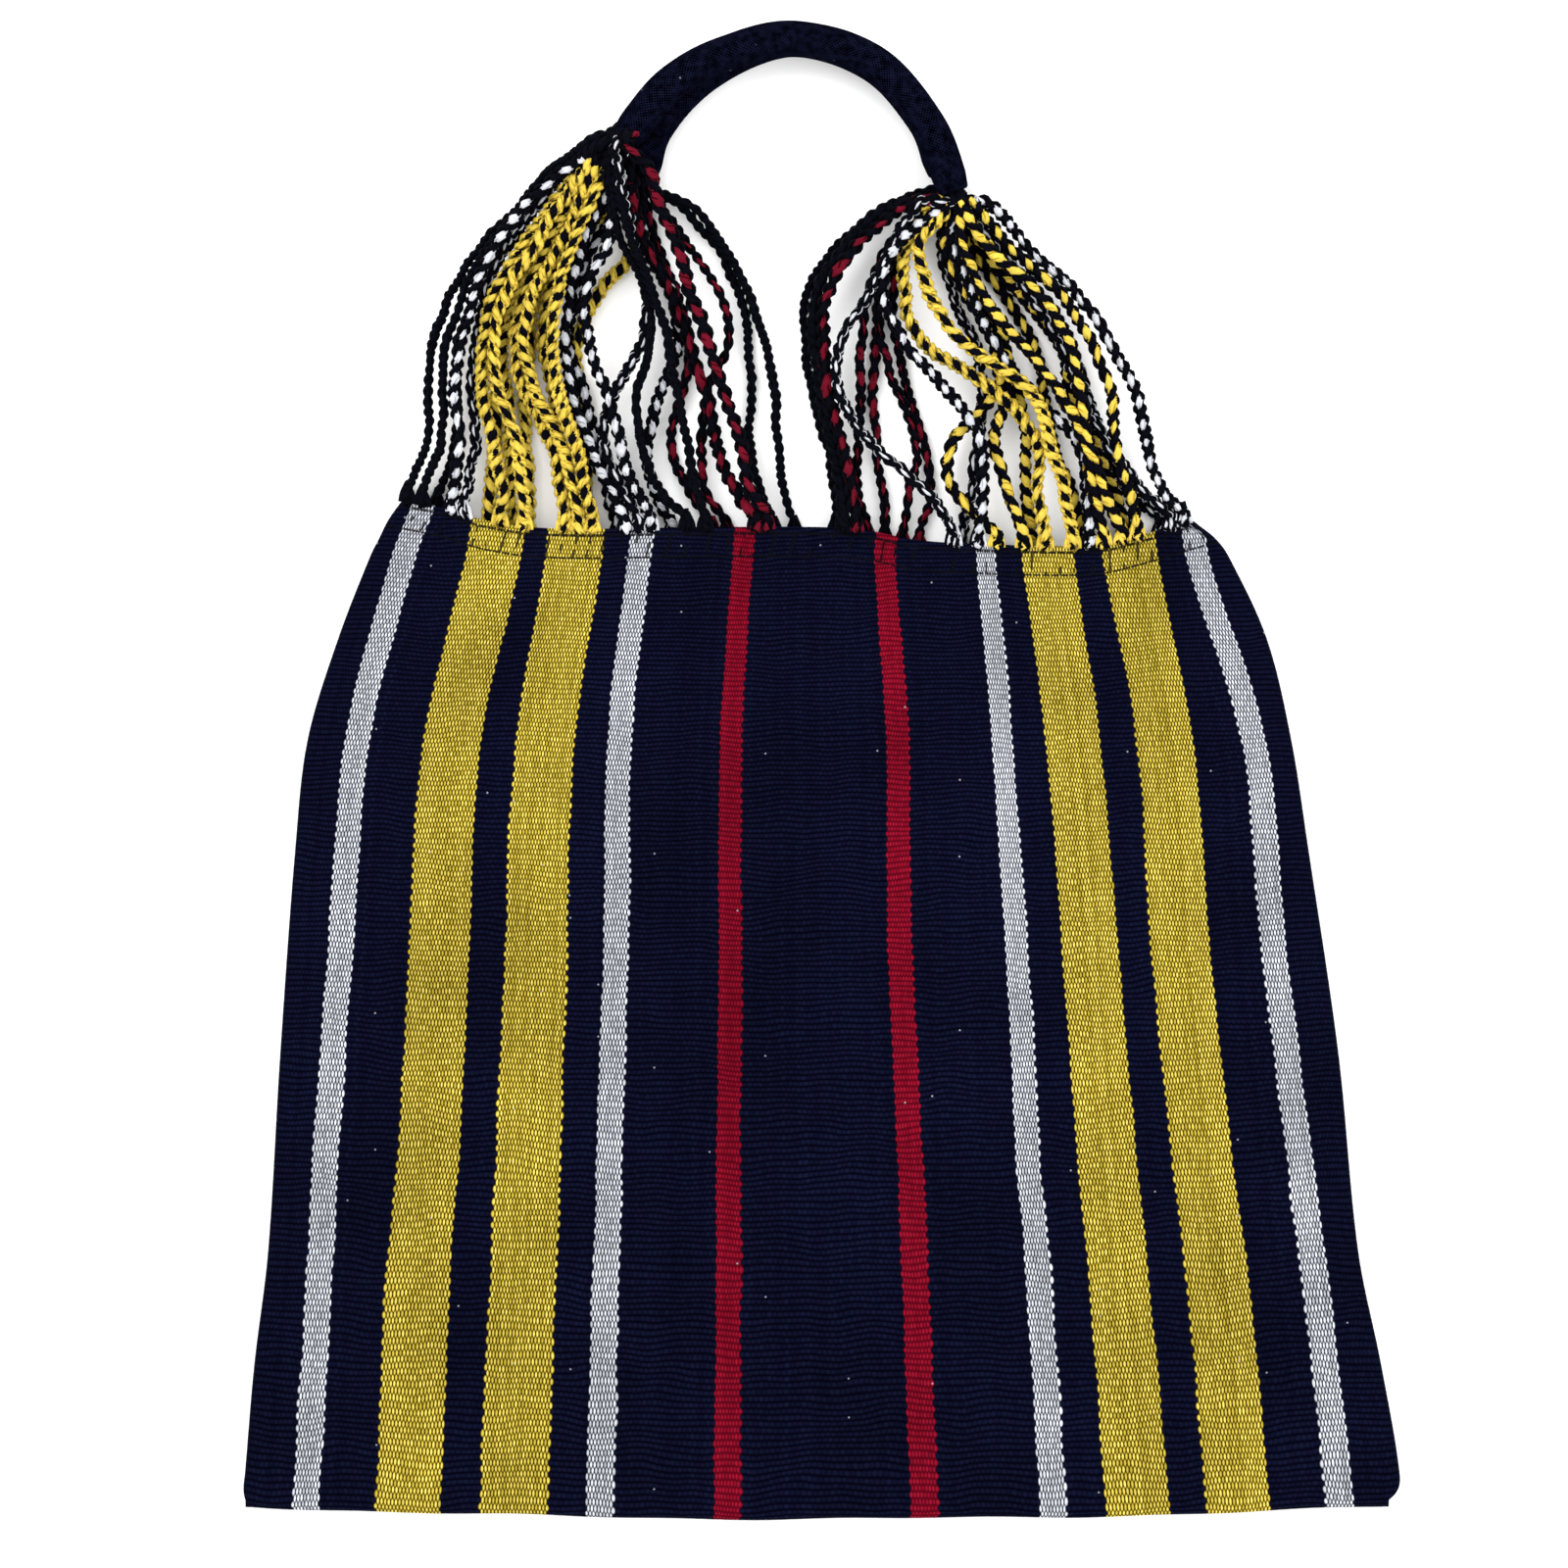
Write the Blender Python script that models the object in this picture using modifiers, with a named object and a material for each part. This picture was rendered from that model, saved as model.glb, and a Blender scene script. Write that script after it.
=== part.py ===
"""Hammock bag: a warp-faced cloth pocket whose warp ends are twisted into cords that meet at two handles.

Units are metres, +Z is up, and the tables hold millimetres. The bag lies flat on its back panel on z = 0,
centred on the origin, with its mouth, cords and handles towards +Y and its front panel up.
"""

import math
from collections import namedtuple

import bmesh
import bpy
from mathutils import Vector

MM = 0.001

# Cloth: one length folded at the bottom and sewn up its sides
CLOTH_THICKNESS = 1.6
SEAM_RADIUS = 2.2
POCKET_RISE = 6.5
SIDE_EASE = 50.0
FOLD_EASE = 60.0
FOLD_LINE_Y = -245.0
FOLD_LINE_BOW = 4.2
HALF_WIDTH = 189.5
BACK_LIP_SETBACK = 2.0
PANEL_COLUMNS = 22
PANEL_ROWS = 18
ROW_CROWDING = 0.75
SEAM_STEPS = 4
EDGE_PASSES = 6
WELD = 0.01

Side = namedtuple("Side", "y left right")
SIDES = [
    Side(-243, -187.5, 180.0),
    Side(-236, -189.5, 188.5),
    Side(-229, -189.0, 189.5),
    Side(-194, -186.0, 183.5),
    Side(-157, -181.5, 176.0),
    Side(-92, -177.5, 169.5),
    Side(-24, -172.5, 159.5),
    Side(11, -168.5, 154.0),
    Side(44, -158.5, 146.0),
    Side(71, -148.0, 133.5),
    Side(77, -145.0, 129.0),
    Side(83, -142.0, 121.5),
    Side(90, -137.0, 115.0),
]

Lip = namedtuple("Lip", "x y")
LIP = [
    Lip(-137, 89.5),
    Lip(-125, 87.0),
    Lip(-110, 82.5),
    Lip(-89, 79.8),
    Lip(-29, 80.2),
    Lip(12, 79.6),
    Lip(30, 76.0),
    Lip(60, 74.4),
    Lip(90, 74.4),
    Lip(105, 77.9),
    Lip(121, 82.7),
]

# Soft gathers that run down the front panel from its lip
Gather = namedtuple("Gather", "x length width rise")
GATHERS = [
    Gather(-118, 70, 9, 0.9),
    Gather(-78, 55, 8, -0.8),
    Gather(-20, 60, 12, 0.7),
    Gather(14, 45, 7, -1.1),
    Gather(27, 60, 8, 1.3),
    Gather(62, 50, 9, -0.9),
    Gather(98, 70, 9, 1.0),
]

# Handles: a padded tube covered in cloth, the front one lying on the back one
HANDLE_RADIUS = 5.75
HANDLE_BEVEL = 4
HANDLE_STEPS = 3
PIECE_GAP = 0.3
BACK_HANDLE_Z = HANDLE_RADIUS
FRONT_HANDLE_Z = BACK_HANDLE_Z + 2 * HANDLE_RADIUS + PIECE_GAP

# The handles' centre lines, x and y from the left end to the right one
FRONT_HANDLE = [(-64, 206.6), (-49.5, 225.3), (-30, 236), (-8, 239.2), (18, 232.5), (35.3, 211), (42, 191.5)]
BACK_HANDLE = [(-59, 195), (-54, 211), (-38, 228.5), (-10, 238.8), (16, 232), (33, 213.5), (38.5, 196)]

# Cords: the cords of one bundle are fused only in the head where they meet a handle's end
HEAD_RADIUS = 5.4
HEAD_LENGTH = 8.0
HEAD_MIDDLE = 0.6
HEAD_TAPER = 0.8
HEAD_BEVEL = 2
HEAD_SPREAD = 0.22
HEAD_STACK = 2.0
FRONT_LAYERS = 3
BACK_LAYERS = 2
LIP_GAP = 0.6
STEM_LENGTH = 3.0
SKIP_NEAR_LIP = 9.0
CORD_STEPS = 2
CORD_BEVEL = 0
FLOOR_GAP = 0.1

CORD_RADIUS = {"navy": 1.6, "white": 1.8, "red": 1.8, "yellow": 2.2}

# The y levels at which the cord tables give x, each with the height of its lowest layer and of a step up
Level = namedtuple("Level", "y front_z front_step back_z back_step")
LEVELS = [
    Level(195, 17.0, 1.6, 5.6, 1.2),
    Level(185, 15.2, 2.2, 4.6, 1.6),
    Level(172, 12.8, 2.8, 3.4, 2.4),
    Level(156, 11.2, 3.2, 2.6, 3.0),
    Level(140, 10.9, 3.2, 2.6, 3.0),
    Level(124, 10.9, 3.2, 2.6, 3.0),
    Level(108, 10.9, 3.2, 2.6, 2.6),
    Level(92, 10.7, 2.6, 2.6, 1.6),
]

# A cord's yarn, its layer in the bundle, x at each level from the handle down, and x where it leaves the lip
Cord = namedtuple("Cord", "yarn layer xs root")
FRONT_LEFT = [
    Cord("navy", 0, (-90, -98, -111, -121, -127, -128, -129, -133), -135.5),
    Cord("navy", 1, (-87, -95, -108, -117, -122, -123.5, -124, -128), -130.5),
    Cord("white", 2, (-86, -95.5, -106, -113, -117, -120, -118, -119), -121),
    Cord("white", 0, (-83, -92, -103, -110, -113, -114, -113, -115), -117),
    Cord("yellow", 1, (-79.5, -87.5, -97, -107, -110, -110.5, -107, -103), -104),
    Cord("yellow", 2, (-78, -85, -93, -103, -107, -105, -98, -97), -96),
    Cord("yellow", 0, (None, -82, -89, -97, -100, -99, -92, -85), -84),
    Cord("yellow", 1, (-74.5, -79, -85, -94, -97, -95, -89, -81), -79),
    Cord("yellow", 2, (None, -75, -81, -86, -88, -87, -82, -77), -74),
    Cord("white", 0, (None, -72, -78, -82, -84, -81.5, -76, -69), -64),
    Cord("white", 1, (None, -68, -70, -77, -76, -70, -66, -60.5), -56),
    Cord("white", 2, (-65.5, -63, -61, -57, -59, -68, -71, -65), -60),
    Cord("navy", 0, (None, -66, -64, -57, -56, -60, -59, -53), -44),
    Cord("navy", 1, (None, -65, -62, -55, -50, -47, -44, -41), -38),
    Cord("red", 0, (-62, -61, -57.5, -49, -43.5, -38, -34.5, -28), -21.5),
    Cord("red", 2, (-56, -52.5, -47, -42.5, -37, -32, -27, -23), -18),
]
BACK_LEFT = [
    Cord("navy", 1, (None, None, -103, -113, -119, -119, -120, -124), -126),
    Cord("yellow", 0, (None, None, -94, -101, -107, -107, -107, -109), -109),
    Cord("yellow", 1, (None, None, -90, -98, -104, -103, -102, -102), -101),
    Cord("yellow", 0, (None, None, -87, -94, -96, -97, -96, -92), -93),
    Cord("yellow", 1, (None, None, -83, -89, -92, -91, -87, -87), -88),
    Cord("yellow", 0, (None, None, -61, -74, -80, -80, -78, -77), -75),
    Cord("white", 1, (None, None, -75, -80, -83, -78, -74, -70), -67),
    Cord("white", 1, (None, None, -57, -49, -47, -53, -57, -55), -49),
    Cord("red", 0, (None, None, -54, -47, -43, -46, -49, -43), -36),
    Cord("red", 1, (None, None, -43, -33, -31, -38, -39, -38), -31),
    Cord("navy", 0, (None, -46, -34.5, -26.5, -24, -23.3, -23.5, -20), -15.5),
    Cord("navy", 1, (None, -43, -32, -23.8, -18.5, -15.5, -14.5, -12), -9),
]
FRONT_RIGHT = [
    Cord("navy", 0, (None, 23.5, 8.5, 0.3, -2.5, 0, 3.6, 7), 7),
    Cord("red", 1, (None, 29, 12, 1.5, -2.2, 0.5, 5.5, 10), 11),
    Cord("white", 2, (None, 32, 23, 15, 6, 5, 15.5, 34), 43),
    Cord("white", 2, (None, None, 25, 20, 27, 41, 52, 52), 51),
    Cord("yellow", 1, (None, 34, 28, 27, 33, 57, 70, 70), 73),
    Cord("yellow", 2, (None, None, 32, 35, 46, 68, 74, 79), 82),
    Cord("yellow", 0, (None, None, 40, 47, 56, 57, 42.7, 43), 57),
    Cord("yellow", 0, (None, None, 44, 52, 60, 61, 56, 61), 66),
    Cord("white", 1, (None, None, 42, 49, 56, 68, 83, 86), 87.5),
    Cord("yellow", 2, (None, None, 46, 52, 64, 77, 85, 88), 92),
    Cord("yellow", 0, (None, None, 53, 71, 81, 84, 87, 92), 98),
    Cord("yellow", 1, (None, 50, 60.5, 78, 88, 94, 96, 100), 103),
    Cord("white", 2, (None, None, 56, 68, 78, 84, 93, 105), 114),
    Cord("white", 0, (None, 55, 67, 84, 94, 103, 106, 111), 118.5),
]
BACK_RIGHT = [
    Cord("navy", 0, (None, 21.5, 5.3, -2.6, -5.6, -3.5, 0.6, 5), 4.5),
    Cord("red", 1, (None, None, 22, 15, 13, 13, 12, 12), 15),
    Cord("red", 0, (None, None, 24, 19, 18, 17, 18, 20), 21),
    Cord("red", 1, (None, None, 26, 19, 20, 25, 31, 29), 26.5),
    Cord("red", 0, (None, None, 28, 23, 25, 28, 34, 36), 32),
    Cord("white", 1, (None, None, 39, 43, 50, 53, 51, 49), 46),
    Cord("yellow", 1, (None, None, 43, 50, 58, 64, 67, 67), 69),
    Cord("yellow", 0, (None, None, 49, 60, 70, 73, 76, 82), 86),
    Cord("yellow", 1, (None, None, 52, 66, 78, 82, 90, 96), 100),
    Cord("white", 0, (None, None, 58, 72, 82, 87, 93, 101), 111),
]

Finish = namedtuple("Finish", "hex_colour roughness")
FINISHES = {
    "warp_faced_cotton": Finish("0E1024", 0.85),
    "twisted_cotton_cord": Finish("8F7A1E", 0.9),
    "covered_tube": Finish("0C0E20", 0.9),
}


def clear_scene():
    for item in list(bpy.data.objects):
        bpy.data.objects.remove(item)


def new_collection(name):
    collection = bpy.data.collections.new(name)
    bpy.context.scene.collection.children.link(collection)
    return collection


def linear(hex_colour):
    channels = [int(hex_colour[i:i + 2], 16) / 255 for i in (0, 2, 4)]
    return [c / 12.92 if c <= 0.04045 else ((c + 0.055) / 1.055) ** 2.4 for c in channels] + [1.0]


def new_material(name):
    material = bpy.data.materials.new(name)
    material.use_nodes = True
    shader = material.node_tree.nodes["Principled BSDF"]
    shader.inputs["Base Color"].default_value = linear(FINISHES[name].hex_colour)
    shader.inputs["Roughness"].default_value = FINISHES[name].roughness
    return material


def smoothstep(t):
    t = min(max(t, 0.0), 1.0)
    return t * t * (3 - 2 * t)


def interpolate(rows, key, column, at):
    """The value of a table's column at a key, on a smooth curve through the table's rows."""
    last = len(rows) - 1
    i = 0
    while i < last - 1 and at > getattr(rows[i + 1], key):
        i += 1
    keys = [getattr(row, key) for row in rows]
    values = [getattr(row, column) for row in rows]
    span = keys[i + 1] - keys[i]
    t = (at - keys[i]) / span

    def slope(j):
        a, b = max(j - 1, 0), min(j + 1, last)
        return (values[b] - values[a]) / (keys[b] - keys[a])

    rise = values[i + 1] - values[i]
    start, end = slope(i) * span, slope(i + 1) * span
    return values[i] + t * (start + t * (3 * rise - 2 * start - end + t * (start + end - 2 * rise)))


def smooth_path(points, steps):
    """A Catmull-Rom curve through the points, with the given number of steps in each span."""
    ends = [2 * points[0] - points[1]] + points + [2 * points[-1] - points[-2]]
    path = []
    for i in range(1, len(ends) - 2):
        a, b, c, d = ends[i - 1:i + 3]
        for step in range(steps):
            t = step / steps
            path.append(0.5 * (2 * b + (c - a) * t + (2 * a - 5 * b + 4 * c - d) * t ** 2
                               + (3 * b - a - 3 * c + d) * t ** 3))
    path.append(points[-1])
    return path


def fold_y(x):
    return FOLD_LINE_Y + FOLD_LINE_BOW * (x / HALF_WIDTH) ** 2


def lip_y(x, setback=0.0):
    first, last = LIP[0].x, LIP[-1].x
    across = min(max((x - first) / (last - first), 0.0), 1.0)
    return interpolate(LIP, "x", "y", x) - setback * math.sin(math.pi * across)


def cloth_point(across, up, setback):
    """x and y of a panel's point, across from the left seam (0 to 1) and up from the fold line (0 to 1)."""
    y = FOLD_LINE_Y + up * (LIP[0].y - FOLD_LINE_Y)
    x = 0.0
    for _ in range(EDGE_PASSES):
        left = interpolate(SIDES, "y", "left", y) + SEAM_RADIUS
        right = interpolate(SIDES, "y", "right", y) - SEAM_RADIUS
        x = left + across * (right - left)
        bottom = fold_y(x) + SEAM_RADIUS
        y = bottom + up * (lip_y(x, setback) - bottom)
    return x, y


def front_rise(x, y):
    """How far the front panel stands above the flat of its seams."""
    left = interpolate(SIDES, "y", "left", y) + SEAM_RADIUS
    right = interpolate(SIDES, "y", "right", y) - SEAM_RADIUS
    side = smoothstep(min(x - left, right - x) / SIDE_EASE)
    rise = POCKET_RISE * side * smoothstep((y - fold_y(x)) / FOLD_EASE)
    for gather in GATHERS:
        along = 1 - (lip_y(x) - y) / gather.length
        if along > 0:
            rise += gather.rise * side * math.exp(-((x - gather.x) / gather.width) ** 2) * along ** 2
    return rise


def cloth_section(up, lift):
    """A closed loop around the pocket: back panel, right seam, front panel and left seam.

    lift runs from 0 on the fold line, where the loop is pressed to a line, to 1 on the panels.
    """
    fold_drop = SEAM_RADIUS * math.sqrt(1 - lift ** 2)
    loop = []
    for side in ("back", "front"):
        front = side == "front"
        for column in range(PANEL_COLUMNS + 1):
            across = column / PANEL_COLUMNS
            if front:
                across = 1 - across
            x, y = cloth_point(across, up, 0.0 if front else BACK_LIP_SETBACK)
            z = 2 * SEAM_RADIUS + front_rise(x, y) if front else 0.0
            loop.append(Vector((x, y - fold_drop, SEAM_RADIUS + (z - SEAM_RADIUS) * lift)))
        x, y, _ = loop[-1]
        turn = -1 if front else 1
        for step in range(1, SEAM_STEPS):
            angle = math.pi * step / SEAM_STEPS
            outward = turn * SEAM_RADIUS * math.sin(angle)
            upward = -turn * SEAM_RADIUS * math.cos(angle) * lift
            loop.append(Vector((x + outward, y, SEAM_RADIUS + upward)))
    return [point * MM for point in loop]


def row_place(row):
    """How far up the panel a row of the loft lies, with the rows closest at the fold line and at the lip."""
    turn = 2 * math.pi * row / PANEL_ROWS
    return (turn - ROW_CROWDING * math.sin(turn)) / (2 * math.pi)


def build_cloth(collection):
    """The woven cloth, an open loft from the fold line to the lip that Solidify gives its thickness."""
    mesh = bmesh.new()
    lifts = [math.sin(math.pi / 2 * step / SEAM_STEPS) for step in range(SEAM_STEPS)]
    sections = [cloth_section(0.0, lift) for lift in lifts]
    sections += [cloth_section(row_place(row), 1.0) for row in range(PANEL_ROWS + 1)]
    rings = [[mesh.verts.new(point) for point in section] for section in sections]
    for lower, upper in zip(rings, rings[1:]):
        for i in range(len(lower)):
            j = (i + 1) % len(lower)
            mesh.faces.new((lower[i], upper[i], upper[j], lower[j]))
    bmesh.ops.remove_doubles(mesh, verts=mesh.verts, dist=WELD * MM)
    data = bpy.data.meshes.new("bag_cloth")
    mesh.to_mesh(data)
    mesh.free()
    data.shade_smooth()
    cloth = bpy.data.objects.new("bag_cloth", data)
    collection.objects.link(cloth)
    solidify = cloth.modifiers.new("thickness", "SOLIDIFY")
    solidify.thickness = CLOTH_THICKNESS * MM
    solidify.offset = -1
    solidify.use_even_offset = True
    return cloth


def tube_curve(name, routes, bevel, collection):
    """A curve object of one bevelled spline for each route, a list of points with their radii."""
    curve = bpy.data.curves.new(name, "CURVE")
    curve.dimensions = "3D"
    curve.bevel_depth = MM
    curve.bevel_resolution = bevel
    curve.use_fill_caps = True
    for route in routes:
        spline = curve.splines.new("POLY")
        spline.points.add(len(route) - 1)
        for point, (place, radius) in zip(spline.points, route):
            point.co = (*(place * MM), 1.0)
            point.radius = radius
    tube = bpy.data.objects.new(name, curve)
    collection.objects.link(tube)
    return tube


def tube_mesh(name, routes, bevel, collection):
    """The same tubes as one mesh object with welded caps, for a Boolean."""
    guide = tube_curve(name + "_guide", routes, bevel, collection)
    bpy.context.view_layer.update()
    depsgraph = bpy.context.evaluated_depsgraph_get()
    data = bpy.data.meshes.new_from_object(guide.evaluated_get(depsgraph))
    mesh = bmesh.new()
    mesh.from_mesh(data)
    bmesh.ops.remove_doubles(mesh, verts=mesh.verts, dist=WELD * MM)
    bmesh.ops.recalc_face_normals(mesh, faces=mesh.faces)
    mesh.to_mesh(data)
    mesh.free()
    tubes = bpy.data.objects.new(name, data)
    tubes.matrix_world = guide.matrix_world
    collection.objects.link(tubes)
    bpy.data.objects.remove(guide)
    return tubes


def handle_path(points, z):
    return smooth_path([Vector((x, y, z)) for x, y in points], HANDLE_STEPS)


def build_handle(name, points, z, collection):
    route = [(place, HANDLE_RADIUS) for place in handle_path(points, z)]
    return tube_curve(name, [route], HANDLE_BEVEL, collection)


def head_places(path):
    """The start, middle and end of the head that carries a bundle on from a handle's end."""
    end, before = path[0], path[1]
    along = (end - before).normalized()
    return [end + along * (PIECE_GAP + HEAD_LENGTH * share) for share in (0.0, HEAD_MIDDLE, 1.0)]


def cord_route(cord, front, start):
    """A cord's points with their radii, from inside the head down to the cloth's lip."""
    radius = CORD_RADIUS[cord.yarn]
    setback = 0.0 if front else BACK_LIP_SETBACK
    lip = lip_y(cord.root, setback)
    points = []
    for level, x in zip(LEVELS, cord.xs):
        if x is None or level.y < lip + SKIP_NEAR_LIP:
            continue
        if front:
            z = level.front_z + level.front_step * cord.layer
        else:
            z = level.back_z + level.back_step * cord.layer
        points.append(Vector((x, level.y, z)))
    root_z = radius + FLOOR_GAP
    if front:
        root_z = 2 * SEAM_RADIUS + front_rise(cord.root, lip) - CLOTH_THICKNESS / 2
    head = Vector((start.x + HEAD_SPREAD * (points[0].x - start.x), start.y, start.z))
    head.z += HEAD_STACK * (cord.layer - (FRONT_LAYERS if front else BACK_LAYERS) / 2 + 0.5)
    root = Vector((cord.root, lip + LIP_GAP, root_z))
    stem = root + Vector((0, STEM_LENGTH, 0))
    path = smooth_path([head] + points + [stem], CORD_STEPS) + [root]
    return [(place, radius) for place in path]


def build_bundle(name, cords, front, path, collection, cutters):
    """A bundle of cords that stand apart, fused only in the head at a handle's end."""
    top, middle, bottom = head_places(path)
    outline = [(top, HEAD_RADIUS), (middle, HEAD_RADIUS), (bottom, HEAD_RADIUS * HEAD_TAPER)]
    head = tube_mesh(name, [outline], HEAD_BEVEL, collection)
    routes = [cord_route(cord, front, middle) for cord in cords]
    strands = tube_mesh(name + "_strands", routes, CORD_BEVEL, cutters)
    strands.hide_render = True
    strands.display_type = "WIRE"
    union = head.modifiers.new("strands", "BOOLEAN")
    union.operation = "UNION"
    union.solver = "EXACT"
    union.use_self = True
    union.object = strands
    return head


def build_bag():
    clear_scene()
    parts = new_collection("hammock_bag")
    cutters = new_collection("hammock_bag_cutters")
    cloth_finish, cord_finish, tube_finish = [new_material(name) for name in FINISHES]

    build_cloth(parts).data.materials.append(cloth_finish)
    for side, points, z in (("front", FRONT_HANDLE, FRONT_HANDLE_Z), ("back", BACK_HANDLE, BACK_HANDLE_Z)):
        build_handle("handle_" + side, points, z, parts).data.materials.append(tube_finish)

    bundles = (
        ("cords_front_left", FRONT_LEFT, True, handle_path(FRONT_HANDLE, FRONT_HANDLE_Z)),
        ("cords_back_left", BACK_LEFT, False, handle_path(BACK_HANDLE, BACK_HANDLE_Z)),
        ("cords_front_right", FRONT_RIGHT, True, handle_path(FRONT_HANDLE, FRONT_HANDLE_Z)[::-1]),
        ("cords_back_right", BACK_RIGHT, False, handle_path(BACK_HANDLE, BACK_HANDLE_Z)[::-1]),
    )
    for name, cords, front, path in bundles:
        bundle = build_bundle(name, cords, front, path, parts, cutters)
        bundle.data.materials.append(cord_finish)


build_bag()
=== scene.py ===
"""Hammock bag: woven cloth pocket, twisted warp cords and two covered handles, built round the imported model.

The tables hold millimetres. The bag lies on its back panel at z = 0, its mouth, cords and handles towards +Y.
"""

import math
from collections import namedtuple

import bmesh
import bpy
import numpy as np
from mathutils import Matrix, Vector


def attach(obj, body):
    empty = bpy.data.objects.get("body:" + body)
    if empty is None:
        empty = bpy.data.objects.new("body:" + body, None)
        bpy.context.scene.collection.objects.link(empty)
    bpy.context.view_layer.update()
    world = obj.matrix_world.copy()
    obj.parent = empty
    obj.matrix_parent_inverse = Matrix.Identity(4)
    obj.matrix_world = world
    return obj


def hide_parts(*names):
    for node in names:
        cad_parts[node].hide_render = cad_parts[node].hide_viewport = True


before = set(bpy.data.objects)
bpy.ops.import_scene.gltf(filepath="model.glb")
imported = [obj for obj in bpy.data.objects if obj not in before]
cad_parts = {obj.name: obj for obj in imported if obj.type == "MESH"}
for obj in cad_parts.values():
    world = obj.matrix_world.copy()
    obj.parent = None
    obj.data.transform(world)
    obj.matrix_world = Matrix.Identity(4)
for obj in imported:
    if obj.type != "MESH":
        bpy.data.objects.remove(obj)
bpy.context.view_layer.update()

bl_info = {
    "name": "Hammock Bag",
    "version": (1, 0, 0),
    "blender": (4, 5, 0),
    "location": "View3D > Sidebar > Hammock Bag",
    "description": "Builds a striped cloth bag with twisted warp cords and two covered handles",
    "category": "Add Mesh",
}

MM = 0.001
UP = np.array((0.0, 0.0, 1.0))

# Cloth: one length folded at the bottom and sewn up its sides
SEAM_RADIUS = 2.2
POCKET_RISE = 6.5
SIDE_EASE = 50.0
FOLD_EASE = 60.0
FOLD_LINE_Y = -245.0
FOLD_LINE_BOW = 4.2
FOLD_LINE_WAVE = 0.35
FOLD_WAVES = ((1.0, 21.0, 0.0), (0.6, 8.3, 1.0))
FOLD_ROWS = 1.6
HALF_WIDTH = 189.5
BACK_LIP_SETBACK = 2.0
PANEL_ROWS = 116
ROW_CROWDING = 0.6
SEAM_STEPS = 6
EDGE_PASSES = 8
ROW_SAMPLES = 200
WELD = 0.01
ENDS_PER_COLUMN = 2.4
SEAM_ENDS = 3.0

Side = namedtuple("Side", "y left right")
SIDES = [Side(*row) for row in (
    (-243, -187.5, 180.0), (-236, -189.5, 188.5), (-229, -189.0, 189.5), (-194, -186.0, 183.5),
    (-157, -181.5, 176.0), (-92, -177.5, 169.5), (-24, -172.5, 159.5), (11, -168.5, 154.0),
    (44, -158.5, 146.0), (71, -148.0, 133.5), (77, -145.0, 129.0), (83, -142.0, 121.5),
    (90, -137.0, 115.0),
)]

Lip = namedtuple("Lip", "x y")
LIP = [Lip(*row) for row in (
    (-137, 89.5), (-125, 87.0), (-110, 82.5), (-89, 79.8), (-29, 80.2), (12, 79.6),
    (30, 76.0), (60, 74.4), (90, 74.4), (105, 77.9), (121, 82.7),
)]

# Soft gathers that run down the front panel from its lip
Gather = namedtuple("Gather", "x length width rise")
GATHERS = [Gather(*row) for row in (
    (-118, 70, 9, 1.4), (-99, 60, 6, -1.1), (-78, 55, 8, -1.0), (-20, 60, 12, 1.0),
    (14, 45, 7, -1.4), (27, 60, 8, 1.6), (62, 50, 9, -1.2), (98, 70, 9, 1.5),
)]

# Stripes: a stripe's warp ends, its width low and high on the bag, and its middle's x at each level
STRIPE_LEVELS = (-232.5, -161.4, -122.7, -58.1, 10.7, 70.6, 82.0)
LOW_WIDTH_Y, HIGH_WIDTH_Y = -232.5, 70.6
STRIPE_GAP = 0.5
Stripe = namedtuple("Stripe", "yarn ends low high xs")
STRIPES = [Stripe(*row) for row in (
    ("white", 8, 8.8, 8.3, (-168.3, -163.8, -161.8, -157.2, -151.6, -136.8, -132.3)),
    ("yellow", 18, 21.4, 18.4, (-134.7, -131.2, -128.0, -124.6, -120.3, -106.9, -104.9)),
    ("yellow", 19, 22.0, 17.9, (-100.5, -97.4, -95.7, -93.3, -90.1, -80.8, -79.8)),
    ("white", 8, 9.0, 7.7, (-72.9, -70.5, -69.5, -67.6, -66.2, -59.8, -58.2)),
    ("red", 8, 8.5, 6.6, (-31.1, -30.7, -30.7, -30.2, -29.9, -25.9, -25.1)),
    ("red", 8, 9.0, 6.9, (33.1, 30.1, 28.5, 25.4, 24.5, 20.5, 21.6)),
    ("white", 8, 8.9, 6.3, (75.0, 70.1, 67.0, 63.5, 58.7, 53.4, 53.8)),
    ("yellow", 18, 21.4, 17.4, (102.9, 96.6, 92.8, 87.7, 81.9, 73.8, 73.3)),
    ("yellow", 18, 20.9, 18.2, (136.2, 129.0, 124.2, 117.6, 112.2, 100.9, 99.6)),
    ("white", 8, 9.3, 7.8, (169.4, 161.4, 156.2, 148.4, 141.6, 123.2, 121.4)),
)]
NAVY_ENDS = (9, 11, 7, 7, 19, 30, 19, 7, 7, 10, 8)

# A ramp is read at 256 even places, so with 255 warp ends in all each stripe's edge falls on one of them
RAMP_STEPS = 255
RAMP_MARGIN = 0.25

# The pitch of the weft rows at heights on the bag: they lie closer towards the lip
Row = namedtuple("Row", "y pitch")
ROWS = [Row(*row) for row in (
    (-245, 2.15), (-184, 2.12), (-127, 2.0), (-69, 1.83), (-11, 1.68), (46, 1.54), (90, 1.46),
)]

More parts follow.
